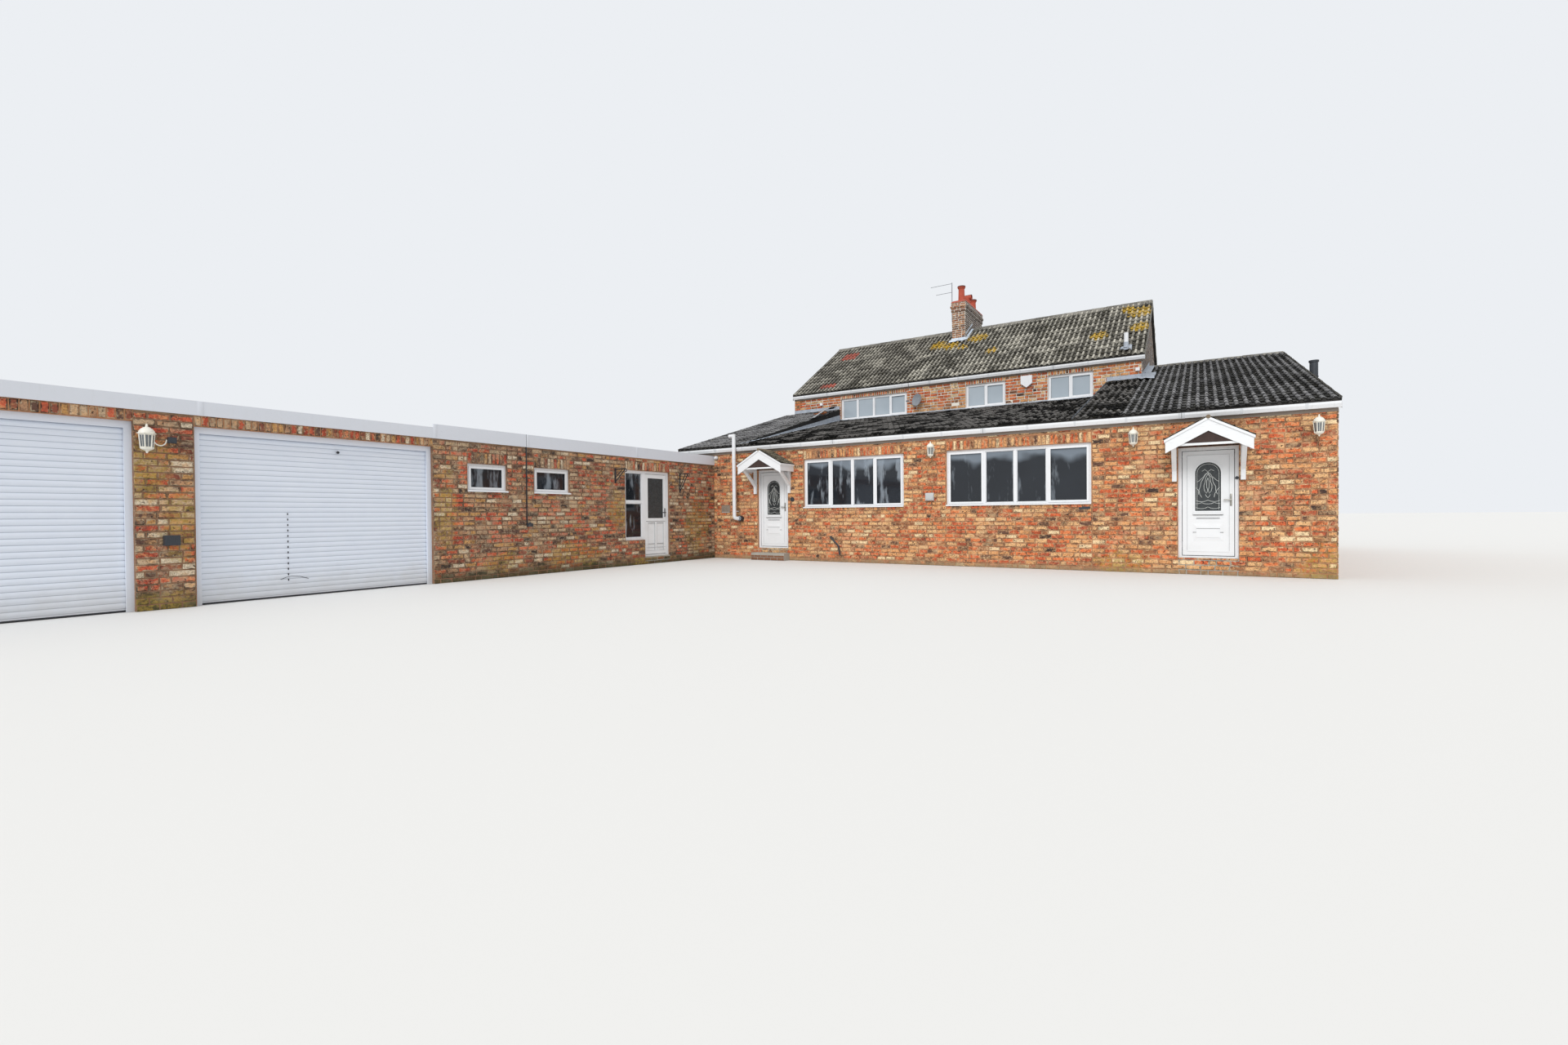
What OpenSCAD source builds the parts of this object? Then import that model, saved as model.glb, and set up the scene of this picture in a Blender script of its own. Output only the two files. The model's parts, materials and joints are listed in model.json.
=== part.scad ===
// Old brick farmhouse with a tiled front range and a flat-roofed garage wing.
// Lengths are in millimetres. Inside the modules X = 0, Y = 0 is the inner corner of the yard,
// where the yard face of the garage wing meets the outer face of the front range.
// X runs right along the front range, Y runs back through the house, Z = 0 is the lowest ground.

/* [Front range] */
// Length of the front range to the right of the yard corner
range_len = 13490; // [12800:10:14200]
// How far the house runs to the left of the yard corner, behind the garage wing
house_left = 920; // [700:10:1200]
// Thickness of the house walls
wall_t = 300; // [250:5:350]
// Height of the tiles at the front eave
range_eave_z = 3055; // [2980:5:3080]
// Pitch of the left and right roof sections, in degrees
range_pitch = 16.15; // [15:0.05:17]
// Pitch of the flatter middle section below the upper windows, in degrees
mid_pitch = 12.75; // [12:0.05:12.85]
// Left edge of the flatter middle section
mid_x0 = 910; // [860:5:940]
// Right edge of the flatter middle section
mid_x1 = 9300; // [9150:10:9500]
// Distance from the front wall to the ridge of the right section
range_ridge_y = 8970; // [8700:10:9200]
// Pitch of the back slope of the right section, in degrees
back_pitch = 31; // [28:0.5:32]
// How far the tiles run past the wall at an eave
eave_out = 80; // [60:5:100]
// Overhang of the left verge of the front range
left_verge_out = 330; // [150:10:400]
// Overhang of the right-hand verge
verge_out = 30; // [20:5:60]
// Thickness of the tiled roofs, measured square to the slope
roof_t = 140; // [120:5:160]
// Thickness of the tiles alone, which run out over the gutters
tile_t = 25; // [20:1:35]
// Width that one tile covers
tile_cover = 300; // [280:5:330]
// Height of the two rolls along each tile
roll_h = 38; // [30:1:45]
// Width of a roll at its foot
roll_w = 66; // [50:1:80]

/* [Main block] */
// Distance from the front wall of the range to the front wall of the main block
main_y = 5900; // [5800:10:6000]
// Depth of the main block over its walls
main_depth = 7260; // [7000:10:7500]
// Right-hand face of the main block
main_x1 = 10175; // [10100:5:10300]
// Height of the tiles at the main eave
main_eave_z = 5480; // [5450:5:5600]
// Pitch of the main roof, in degrees
main_pitch = 33; // [31:0.5:35]
// Overhang of the main roof at the right gable
gable_out = 70; // [40:5:100]
// Level of the ground floor
floor_z = 310; // [300:5:320]
// Thickness of the ground floor slabs
slab_t = 150; // [100:5:200]
// Level of the upper floor
upper_z = 2950; // [2900:10:3000]
// Thickness of the upper floor
upper_t = 200; // [150:10:220]

/* [Garage wing] */
// Depth of the garage wing
wing_depth = 6000; // [5400:50:6600]
// Thickness of the garage walls
wing_wall_t = 225; // [200:5:250]
// Height of the garage walls
wing_wall_z = 2590; // [2570:5:2650]
// Thickness of the flat roof
flat_t = 150; // [120:5:160]
// Depth of the fascia on the outer half of the wing
fascia_h = 194; // [180:2:220]
// Extra height of the fascia nearer the house
fascia_step = 60; // [40:5:80]
// Where the fascia steps, measured from the yard corner
fascia_step_y = 7980; // [7900:10:8100]
// Level of the garage floor
garage_floor_z = 80; // [60:5:100]
// Width of each shutter opening
shutter_w = 3270; // [3100:10:3300]
// Height of the shutter openings
shutter_h = 2445; // [2400:5:2480]
// Distance from the yard corner to the first shutter opening
shutter_y = 7984; // [7940:2:8040]
// Width of the pier between the shutters
pier_w = 600; // [560:5:660]
// Width of the pier at the outer end
end_pier_w = 596; // [450:2:700]
// Pitch of the shutter slats
slat_pitch = 77; // [70:1:85]
// How far the shutters stand back from the wall face
shutter_recess = 100; // [80:5:120]

/* [Doors] */
// Width over a front door frame
door_w = 950; // [920:5:980]
// Height over a front door frame
door_h = 2070; // [2040:5:2100]
// Centre of the left front door
door1_x = 1959; // [1900:1:2010]
// Centre of the right front door
door2_x = 11627; // [11580:1:11680]
// Width over the garage side door frame
side_door_w = 884; // [850:2:920]
// Height over the garage side door frame
side_door_h = 2100; // [2060:5:2120]
// Far edge of the side door, measured from the yard corner
side_door_y = 1846; // [1800:2:1900]
// Sill level of the garage side door
side_sill_z = 187; // [170:1:200]
// Width of a door or window frame member
frame_w = 60; // [50:1:70]
// Depth of a door or window frame
frame_d = 70; // [60:1:80]
// Thickness of a door leaf
leaf_t = 60; // [50:1:65]
// How far frames stand back from the wall face
reveal = 50; // [35:1:60]

/* [Windows] */
// Left edge of the kitchen window
kitchen_x = 2917; // [2870:1:2960]
// Width of the kitchen window
kitchen_w = 2720; // [2650:5:2780]
// Left edge of the large window
lounge_x = 6658; // [6600:1:6720]
// Width of the large window
lounge_w = 2995; // [2900:5:3050]
// Sill level of the front windows
front_sill_z = 1350; // [1300:5:1400]
// Height of the front windows
front_win_h = 1247; // [1200:1:1280]
// Share of the width in each outer light of a front window
outer_share = 0.28; // [0.26:0.01:0.3]
// Height of the upper windows
upper_win_h = 730; // [700:5:745]
// Head level of the upper windows
upper_head_z = 5192; // [5170:2:5210]
// Width of one light of an upper window
upper_light_w = 605; // [580:1:620]
// Sill level of the small garage windows
garage_sill_z = 1660; // [1620:5:1700]
// Height of the small garage windows
garage_win_h = 530; // [500:5:560]
// Sill level of the window beside the side door
side_win_sill_z = 600; // [560:5:640]

/* [Chimney] */
// Width of the chimney stack
stack_w = 470; // [440:5:520]
// Depth of the chimney stack
stack_d = 2100; // [1900:10:2200]
// Left edge of the chimney stack
stack_x = 4040; // [3900:10:4200]
// Front face of the chimney stack
stack_y = 8600; // [8500:10:8700]
// Height of the top of the brickwork
stack_z = 8700; // [8600:10:8800]
// Height of a chimney pot
pot_h = 560; // [500:10:620]
// Outer diameter of a pot
pot_dia = 270; // [240:5:300]

/* [Canopies] */
// Width over the bargeboards of a door canopy
canopy_w = 1320; // [1260:5:1380]
// How far a canopy stands out
canopy_out = 620; // [560:5:680]
// Height of the tops of the bargeboards at their outer ends
canopy_eave_z = 2450; // [2430:5:2480]
// Pitch of a canopy, in degrees
canopy_pitch = 29; // [27:0.5:31]
// Height of a bargeboard, measured upright
barge_h = 205; // [180:5:230]

/* [Hidden] */
$fn = 48;
eps = 1;
far = 20000;
// Clearance at which sloping seats lie on each other
seat_gap = 0.3;

function rise(run, pitch) = run * tan(pitch);
function thick(pitch) = roof_t / cos(pitch);
function tile_v(pitch) = tile_t / cos(pitch);

// Roof heights
function front_z(y, pitch) = range_eave_z + rise(y + eave_out, pitch);
range_ridge_z = front_z(range_ridge_y, range_pitch);
main_ridge_y = main_y + main_depth / 2;
main_ridge_z = main_eave_z + rise(main_depth / 2 + eave_out, main_pitch);
back_y = main_y + main_depth;
back_eave_y = back_y + eave_out;
back_eave_z = range_ridge_z - rise(back_eave_y - range_ridge_y, back_pitch);
range_under_z = front_z(0, mid_pitch) - thick(mid_pitch);
main_under_z = main_eave_z + rise(eave_out, main_pitch) - thick(main_pitch);

// Walls in plan
house_x0 = -house_left;
inner_x0 = house_x0 + wall_t;
range_in_x1 = range_len - wall_t;
main_in_x1 = main_x1 - wall_t;
main_in_y0 = main_y + wall_t;
back_in_y = back_y - wall_t;

// Doorways
door1_x0 = door1_x - door_w / 2;
door1_x1 = door1_x + door_w / 2;
door2_x0 = door2_x - door_w / 2;
door2_x1 = door2_x + door_w / 2;
door_head_z = floor_z + door_h;
side_door_y0 = -side_door_y - side_door_w;
side_win_w = 648;
side_win_y0 = side_door_y0 - side_win_w;
side_head_z = side_sill_z + side_door_h;

// Old openings through the lower part of the inner front wall
inner_door_w = 1100;
inner_door_xs = [1500, 6300];

// Upper windows as [left edge, number of lights]
upper_windows = [[967, 4], [5332, 2], [7753, 2]];
upper_sill_z = upper_head_z - upper_win_h;
lower_back_sill_z = 1150;

// Garage openings along the yard
window_a_y = -7336;
window_a_w = 825;
window_b_y = -5892;
window_b_w = 894;
shutter1_y0 = -shutter_y - shutter_w;
pier_y0 = shutter1_y0 - pier_w;
shutter2_y0 = pier_y0 - shutter_w;
wing_len = end_pier_w - shutter2_y0;
fascia_t = 25;
flat_top_z = wing_wall_z + flat_t;

// Fittings
gutter_w = 110;
gutter_h = 100;
board_t = 20;
flue_r = 76;
flue_cap_out = 15;
flue_x = range_len + 130;
hinge_r = 7;
hinge_len = 100;
hinge_gap = 0.4;
latch_gap = 10;

// Overall box, which puts the origin at the middle of the base
box_x0 = -wing_depth - fascia_t;
box_x1 = flue_x + flue_r + flue_cap_out;
box_y0 = -wing_len - fascia_t;
box_y1 = back_y + board_t + gutter_w;

// Basic shapes

module place() {
    translate([-(box_x0 + box_x1) / 2, -(box_y0 + box_y1) / 2, 0]) children();
}

module block(a, b) {
    translate(a) cube(b - a);
}

// A profile in Y and Z, run along X
module along_x(x0, x1, points) {
    translate([x0, 0, 0]) rotate([90, 0, 90]) linear_extrude(x1 - x0) polygon(points);
}

// A profile in X and Z, run along Y
module along_y(y0, y1, points) {
    translate([0, y1, 0]) rotate([90, 0, 0]) linear_extrude(y1 - y0) polygon(points);
}

// Places children drawn for a wall facing -Y on the yard wall of the garage wing, which faces +X.
// Their X then runs along the yard wall from y0 towards the house.
module on_yard_wall(y0) {
    translate([0, y0, 0]) rotate([0, 0, 90]) children();
}

// Places children drawn for a wall facing -Y on a wall facing +Y, from its right-hand edge
module on_back_wall(x1) {
    translate([x1, back_y, 0]) rotate([0, 0, 180]) children();
}

// Walls of the front range

module above_range_roof() {
    for (s = [[-far, mid_x0, range_pitch], [mid_x0, mid_x1, mid_pitch], [mid_x1, far, range_pitch]])
        along_x(s[0], s[1], [
            [-far, front_z(-far, s[2]) - thick(s[2]) - seat_gap],
            [range_ridge_y, front_z(range_ridge_y, s[2]) - thick(s[2]) - seat_gap],
            [range_ridge_y, far],
            [-far, far]
        ]);
}

module front_wall_piece(x0, x1, z0) {
    difference() {
        block([x0, 0, z0], [x1, wall_t, range_eave_z + wall_t]);
        above_range_roof();
    }
}

module front_wall_ends() {
    color("peru") place() {
        front_wall_piece(house_x0, door1_x0, 0);
        front_wall_piece(door2_x1, range_len, 0);
    }
}

module front_wall_middle() {
    color("peru") place() difference() {
        front_wall_piece(door1_x1, door2_x0, 0);
        for (w = [[kitchen_x, kitchen_w], [lounge_x, lounge_w]])
            block([w[0], -eps, front_sill_z], [w[0] + w[1], wall_t + eps, front_sill_z + front_win_h]);
    }
}

module opening_heads() {
    color("peru") place() {
        front_wall_piece(door1_x0, door1_x1, door_head_z);
        front_wall_piece(door2_x0, door2_x1, door_head_z);
        for (y = [shutter1_y0, shutter2_y0])
            block([-wing_wall_t, y, shutter_h], [0, y + shutter_w, wing_wall_z]);
        block([-wing_wall_t, side_win_y0, side_head_z], [0, -side_door_y, wing_wall_z]);
    }
}

step_h = 190;
step_out = 280;
step_lap = 40;

module door_sills() {
    color("gray") place() {
        for (x = [door1_x0, door2_x0])
            block([x, 0, 0], [x + door_w, wall_t, floor_z]);
        block([door1_x0 - step_lap, -step_out, 0], [door1_x1 + step_lap, 0, step_h]);
        block([-wing_wall_t, side_door_y0, 0], [0, -side_door_y, side_sill_z]);
    }
}

function right_room_top(y) = min(
    front_z(y, range_pitch) - thick(range_pitch) - seat_gap,
    range_ridge_z + rise(range_ridge_y - y, back_pitch) - thick(back_pitch) - seat_gap
);
right_top_y = range_ridge_y + (thick(range_pitch) - thick(back_pitch)) / (tan(range_pitch) + tan(back_pitch));

module range_side_walls() {
    color("peru") place() {
        difference() {
            block([house_x0, wall_t, 0], [inner_x0, main_y, 2 * range_eave_z]);
            above_range_roof();
        }
        along_x(range_in_x1, range_len, [
            [wall_t, 0],
            [back_in_y, 0],
            [back_in_y, right_room_top(back_in_y)],
            [right_top_y, right_room_top(right_top_y)],
            [wall_t, right_room_top(wall_t)]
        ]);
    }
}

module range_back_wall() {
    color("peru") place() difference() {
        along_x(main_x1, range_len, [
            [back_in_y, 0],
            [back_y, 0],
            [back_y, right_room_top(back_y)],
            [back_in_y, right_room_top(back_in_y)]
        ]);
        block([right_back_x, back_in_y - eps, front_sill_z],
            [right_back_x + 2 * upper_light_w, back_y + eps, front_sill_z + front_win_h]);
    }
}
right_back_x = (main_x1 + range_len) / 2 - upper_light_w;

module ground_floor() {
    color("lightgray") place() {
        block([inner_x0, wall_t, floor_z - slab_t], [range_in_x1, main_y, floor_z]);
        block([main_x1, main_y, floor_z - slab_t], [range_in_x1, back_in_y, floor_z]);
        block([inner_x0, main_in_y0, floor_z - slab_t], [main_in_x1, back_in_y, floor_z]);
    }
}

// Walls of the main block

module under_main_roof(x0, x1, y0, y1) {
    intersection() {
        block([x0, y0, 0], [x1, y1, far]);
        along_x(x0 - eps, x1 + eps, [
            [main_y - far, -far],
            [main_y - far, main_under_z - rise(far, main_pitch) - seat_gap],
            [main_ridge_y, main_ridge_z - thick(main_pitch) - seat_gap],
            [back_y + far, main_under_z - rise(far, main_pitch) - seat_gap],
            [back_y + far, -far]
        ]);
    }
}

module inner_wall_piers() {
    color("peru") place() {
        xs = [house_x0, inner_door_xs[0], inner_door_xs[0] + inner_door_w, inner_door_xs[1],
            inner_door_xs[1] + inner_door_w, main_x1];
        for (i = [0, 2, 4])
            block([xs[i], main_y, 0], [xs[i + 1], main_in_y0, upper_z - upper_t]);
    }
}

module main_front_wall() {
    color("peru") place() difference() {
        under_main_roof(house_x0, main_x1, main_y, main_in_y0);
        block([-far, -far, -far], [far, far, upper_z - upper_t]);
        for (w = upper_windows)
            block([w[0], main_y - eps, upper_sill_z],
                [w[0] + w[1] * upper_light_w, main_in_y0 + eps, upper_head_z]);
    }
}

module main_back_wall() {
    color("peru") place() difference() {
        under_main_roof(house_x0, main_x1, back_in_y, back_y);
        for (w = upper_windows) {
            block([w[0], back_in_y - eps, upper_sill_z],
                [w[0] + w[1] * upper_light_w, back_y + eps, upper_head_z]);
            block([w[0], back_in_y - eps, lower_back_sill_z],
                [w[0] + w[1] * upper_light_w, back_y + eps, lower_back_sill_z + front_win_h]);
        }
    }
}

module main_left_gable() {
    color("peru") place() under_main_roof(house_x0, inner_x0, main_in_y0, back_in_y);
}

module main_right_gable() {
    color("rosybrown") place() under_main_roof(main_in_x1, main_x1, main_in_y0, back_in_y);
}

module upper_floor() {
    color("tan") place()
        block([inner_x0, main_in_y0, upper_z - upper_t], [main_in_x1, back_in_y, upper_z]);
}

// Roofs

// The rolls of the tiles between x0 and x1, on a slope that starts at low_y and low_z
module tile_rolls(x0, x1, low_y, low_z, run, pitch) {
    count = max(1, round((x1 - x0) / tile_cover));
    cover = (x1 - x0) / count;
    bed = tile_t / 2;
    translate([x0, low_y, low_z]) rotate([90 + pitch, 0, 0]) mirror([0, 0, 1])
        linear_extrude(run / cos(pitch))
            for (i = [0:2 * count - 1])
                translate([cover * (i + 0.5) / 2, 0]) polygon([
                    [-roll_w / 2, -bed], [-roll_w / 2, 0], [-roll_w / 4, roll_h],
                    [roll_w / 4, roll_h], [roll_w / 2, 0], [roll_w / 2, -bed]
                ]);
}

// Half of the main roof. cuts holds places without rolls as [x0, x1, y0, y1].
module main_slope(cuts) {
    along_x(house_x0 - verge_out, main_x1 + gable_out, [
        [main_y - eave_out, main_eave_z - tile_v(main_pitch)],
        [main_y - eave_out, main_eave_z],
        [main_ridge_y, main_ridge_z],
        [main_ridge_y, main_ridge_z - thick(main_pitch)],
        [main_y, main_under_z],
        [main_y, main_eave_z + rise(eave_out, main_pitch) - tile_v(main_pitch)]
    ]);
    difference() {
        tile_rolls(house_x0 - verge_out, main_x1 + gable_out, main_y - eave_out, main_eave_z,
            main_depth / 2 + eave_out - ridge_r - bed_gap, main_pitch);
        for (c = cuts)
            block([c[0], c[2], 0], [c[1], c[3], far]);
    }
}

// Soil pipe that comes out through the main roof, and the lead slate round it
vent_x = 9770;
vent_y = 6180;
vent_r = 57;
vent_top_z = 6200;
slate_out = 130;

module main_roof_front() {
    color("dimgray") place() main_slope([
        [stack_x, stack_x + stack_w, stack_y, far],
        [vent_x - slate_out, vent_x + slate_out, vent_y - slate_out, vent_y + slate_out]
    ]);
}

module main_roof_back() {
    color("dimgray") place() translate([0, 2 * main_ridge_y, 0]) mirror([0, 1, 0])
        main_slope([[stack_x, stack_x + stack_w, 2 * main_ridge_y - stack_y - stack_d, far]]);
}

module front_slope(x0, x1, top_y, pitch, rolls_to) {
    along_x(x0, x1, [
        [-eave_out, range_eave_z - tile_v(pitch)],
        [-eave_out, range_eave_z],
        [top_y, front_z(top_y, pitch)],
        [top_y, front_z(top_y, pitch) - thick(pitch)],
        [0, front_z(0, pitch) - thick(pitch)],
        [0, front_z(0, pitch) - tile_v(pitch)]
    ]);
    tile_rolls(x0, x1, -eave_out, range_eave_z, rolls_to + eave_out, pitch);
}

module roof_left() {
    color("dimgray") place()
        front_slope(house_x0 - left_verge_out, mid_x0, main_y, range_pitch, main_y - wall_gap);
}

module roof_middle() {
    color("dimgray") place() front_slope(mid_x0, mid_x1, main_y, mid_pitch, main_y - wall_gap);
}

module roof_right() {
    color("dimgray") place() {
        front_slope(mid_x1, main_x1, main_y, range_pitch, main_y - wall_gap);
        front_slope(main_x1, range_len + verge_out, range_ridge_y, range_pitch,
            range_ridge_y - ridge_r - bed_gap);
    }
}

module roof_right_back() {
    run = back_eave_y - range_ridge_y;
    low = range_ridge_y - run;
    color("dimgray") place() translate([0, 2 * range_ridge_y, 0]) mirror([0, 1, 0]) {
        along_x(main_x1, range_len + verge_out, [
            [low, back_eave_z - tile_v(back_pitch)],
            [low, back_eave_z],
            [range_ridge_y, range_ridge_z],
            [range_ridge_y, range_ridge_z - thick(back_pitch)],
            [low + eave_out, back_eave_z + rise(eave_out, back_pitch) - thick(back_pitch)],
            [low + eave_out, back_eave_z + rise(eave_out, back_pitch) - tile_v(back_pitch)]
        ]);
        tile_rolls(main_x1, range_len + verge_out, low, back_eave_z, run - ridge_r - bed_gap, back_pitch);
    }
}

// A half-round ridge over the meeting of two slopes, with mortar below its edges
ridge_r = 120;
ridge_t = 18;
ridge_up = 50;
bed_gap = 10;
// How far the rolls' ends stay from a wall, so that they lie clear of it
wall_gap = 12;

module ridge_run(x0, x1, y, z) {
    inner_r = ridge_r - ridge_t;
    translate([x0, y, z - ridge_up]) rotate([90, 0, 90]) linear_extrude(x1 - x0) difference() {
        union() {
            circle(r = ridge_r);
            translate([-ridge_r, -ridge_r]) square([2 * ridge_r, ridge_r]);
        }
        circle(r = inner_r);
        translate([-inner_r, -2 * ridge_r]) square([2 * inner_r, 2 * ridge_r]);
    }
}

module ridge_tiles() {
    color("gray") place() {
        difference() {
            union() {
                ridge_run(house_x0 - verge_out, stack_x, main_ridge_y, main_ridge_z);
                ridge_run(stack_x + stack_w, main_x1 + gable_out, main_ridge_y, main_ridge_z);
            }
            translate([0, 0, seat_gap]) under_main_top();
        }
        difference() {
            ridge_run(main_x1, range_len + verge_out, range_ridge_y, range_ridge_z);
            translate([0, 0, seat_gap]) along_x(main_x1 - eps, range_len + 2 * verge_out, [
                [-eave_out, range_eave_z - far],
                [-eave_out, range_eave_z],
                [range_ridge_y, range_ridge_z],
                [back_eave_y, back_eave_z],
                [back_eave_y, range_eave_z - far]
            ]);
        }
    }
}

module under_main_top() {
    along_x(-far, far, [
        [main_y - eave_out, 0],
        [main_y - eave_out, main_eave_z],
        [main_ridge_y, main_ridge_z],
        [back_y + eave_out, main_eave_z],
        [back_y + eave_out, 0]
    ]);
}

// Chimney

band_out = 25;
// The corbelled bands as [lower edge below the top, height, steps out]
stack_bands = [[330, 270, 1], [190, 75, 2], [115, 115, 1]];
flaunch_h = 90;
flaunch_in = 150;

module chimney_stack() {
    color("sienna") place() difference() {
        union() {
            block([stack_x, stack_y, main_eave_z], [stack_x + stack_w, stack_y + stack_d, stack_z]);
            for (b = stack_bands)
                block([stack_x - b[2] * band_out, stack_y - b[2] * band_out, stack_z - b[0]],
                    [stack_x + stack_w + b[2] * band_out, stack_y + stack_d + b[2] * band_out,
                    stack_z - b[0] + b[1]]);
            along_x(stack_x + band_out, stack_x + stack_w - band_out, [
                [stack_y + band_out, stack_z],
                [stack_y + stack_d - band_out, stack_z],
                [stack_y + stack_d - flaunch_in, stack_z + flaunch_h],
                [stack_y + flaunch_in, stack_z + flaunch_h]
            ]);
        }
        under_main_top();
    }
}

// Inner and outer radii of a pot as shares of its diameter
pot_bore = 0.3;
pot_foot = 0.5;
pot_neck = 0.38;
pot_rim = 0.52;

module pot(h) {
    rotate_extrude() polygon([
        [0.34 * pot_dia, 0], [pot_foot * pot_dia, 0], [pot_foot * pot_dia, 60], [0.42 * pot_dia, 80],
        [pot_neck * pot_dia, h - 110], [pot_rim * pot_dia, h - 40], [pot_rim * pot_dia, h],
        [0.42 * pot_dia, h], [pot_bore * pot_dia, h - 100]
    ]);
}

// A straight pot under a clay hood that opens to the right
hood_r = 95;
hood_len = 315;
hood_back = 150;

module hooded_pot(h) {
    difference() {
        union() {
            cylinder(r = pot_neck * pot_dia, h = h);
            cylinder(r = pot_foot * pot_dia, h = 60);
            translate([-hood_back, 0, h]) rotate([0, 90, 0]) cylinder(r = hood_r, h = hood_len);
        }
        translate([0, 0, -eps]) cylinder(r = pot_bore * pot_dia, h = h);
        translate([-hood_back / 2, 0, h]) rotate([0, 90, 0]) cylinder(r = hood_r - 20, h = hood_len);
    }
}

// Each pot as [place along the stack, height], both as shares
pots = [[1 / 6, 1], [1 / 2, 0.62], [5 / 6, 0.8]];

module chimney_pots() {
    color("firebrick") place()
        for (i = [0:2])
            translate([stack_x + stack_w / 2, stack_y + pots[i][0] * stack_d, stack_z + flaunch_h])
                if (i == 1)
                    hooded_pot(pot_h * pots[i][1]);
                else
                    pot(pot_h * pots[i][1]);
}

// Gutters, fascia boards and lead

module gutter(x0, x1, y, z) {
    along_x(x0, x1, [
        [y, z], [y - 0.25 * gutter_w, z - gutter_h], [y - 0.75 * gutter_w, z - gutter_h],
        [y - gutter_w, z - 0.4 * gutter_h], [y - gutter_w, z], [y - gutter_w + 5, z],
        [y - gutter_w + 5, z - 0.38 * gutter_h], [y - 0.73 * gutter_w, z - gutter_h + 5],
        [y - 0.27 * gutter_w, z - gutter_h + 5], [y - 5, z]
    ]);
}

eave_gap = 3;
range_board_low = 2865;
main_board_low = 5303;

function under_tile(eave_z, out, pitch) = eave_z + rise(eave_out - out, pitch) - tile_v(pitch) - eave_gap;

module eave_gutter(x0, x1, eave_z, pitch) {
    gutter(x0, x1, -board_t, under_tile(eave_z, eave_out, pitch));
}

module eave_board(x0, x1, low, eave_z, pitch) {
    block([x0, -board_t, low], [x1, 0, under_tile(eave_z, board_t, pitch)]);
}

module gutters() {
    color("whitesmoke") place() {
        eave_gutter(house_x0 - left_verge_out, range_len + verge_out, range_eave_z, range_pitch);
        translate([0, main_y, 0])
            eave_gutter(house_x0, main_x1 + gable_out, main_eave_z, main_pitch);
        on_back_wall(main_x1)
            eave_gutter(0, main_x1 - house_x0, main_eave_z, main_pitch);
        on_back_wall(range_len)
            eave_gutter(0, range_len - main_x1, back_eave_z, back_pitch);
    }
}

module eave_boards() {
    color("gainsboro") place() {
        eave_board(house_x0 - left_verge_out, range_len, range_board_low, range_eave_z, mid_pitch);
        translate([0, main_y, 0])
            eave_board(house_x0, main_x1, main_board_low, main_eave_z, main_pitch);
        on_back_wall(main_x1)
            eave_board(0, main_x1 - house_x0, main_board_low, main_eave_z, main_pitch);
        on_back_wall(range_len)
            eave_board(0, range_len - main_x1, back_eave_z - range_eave_z + range_board_low,
                back_eave_z, back_pitch);
    }
}

lead_t = 6;
lead_up = 120;
lead_out = 150;

function roll_v(pitch) = roll_h / cos(pitch);

// A strip of lead on the rolls at the foot of a wall, turned up to top_z
module apron(x0, x1, pitch, top_z) {
    foot = front_z(main_y, pitch) + roll_v(pitch) + seat_gap;
    along_x(x0, x1, [
        [main_y - lead_out, foot - rise(lead_out, pitch)],
        [main_y - lead_out, foot - rise(lead_out, pitch) + lead_t],
        [main_y - lead_t, foot + lead_t],
        [main_y - lead_t, top_z],
        [main_y, top_z],
        [main_y, foot]
    ]);
}

// A sloping strip of lead along the gable's foot, between two places given as [y, z]
module gable_lead(w, h, a, b) {
    along_x(main_x1, main_x1 + w, [a, b, b + [0, h], a + [0, h]]);
}

module lead_flashings() {
    side_top = front_z(main_y, range_pitch);
    front_up = roll_v(range_pitch) + seat_gap;
    back_up = roll_v(back_pitch) + seat_gap;
    corner = [main_y - lead_t, front_z(main_y - lead_t, range_pitch) + front_up];
    foot = [main_y - lead_out, front_z(main_y - lead_out, range_pitch) + front_up];
    ridge_gap = ridge_r + bed_gap;
    near_top = [range_ridge_y - ridge_gap, range_ridge_z - rise(ridge_gap, range_pitch) + front_up];
    far_top = [range_ridge_y + ridge_gap, range_ridge_z - rise(ridge_gap, back_pitch) + back_up];
    far_foot = [back_y, range_ridge_z - rise(back_y - range_ridge_y, back_pitch) + back_up];
    color("lightslategray") place() {
        apron(mid_x0 + lead_t, mid_x1 - lead_t, mid_pitch, upper_sill_z);
        for (s = [[house_x0, mid_x0], [mid_x1, main_x1]])
            apron(s[0], s[1], range_pitch, side_top + front_up + lead_up);
        for (x = [mid_x0, mid_x1 - lead_t])
            along_x(x, x + lead_t, [
                [-eave_out, range_eave_z],
                [main_y, front_z(main_y, mid_pitch)],
                [main_y, side_top],
                [-eave_out, range_eave_z]
            ]);
        gable_lead(lead_out, lead_t, foot, near_top);
        gable_lead(lead_t, lead_up, corner, near_top);
        gable_lead(lead_out, lead_t, far_top, far_foot);
        gable_lead(lead_t, lead_up, far_top, far_foot);
        difference() {
            block([vent_x - slate_out, vent_y - slate_out, main_eave_z],
                [vent_x + slate_out, vent_y + slate_out, far]);
            under_main_top();
            translate([0, 0, lead_t]) above_main_top();
            translate([vent_x, vent_y, 0]) cylinder(r = vent_r + eps, h = far);
        }
    }
}

// Everything above the main roof's front slope
module above_main_top() {
    along_x(-far, far, [
        [main_y - eave_out, main_eave_z],
        [main_ridge_y, main_ridge_z],
        [main_ridge_y, far],
        [main_y - eave_out, far]
    ]);
}

// Garage wing

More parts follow.
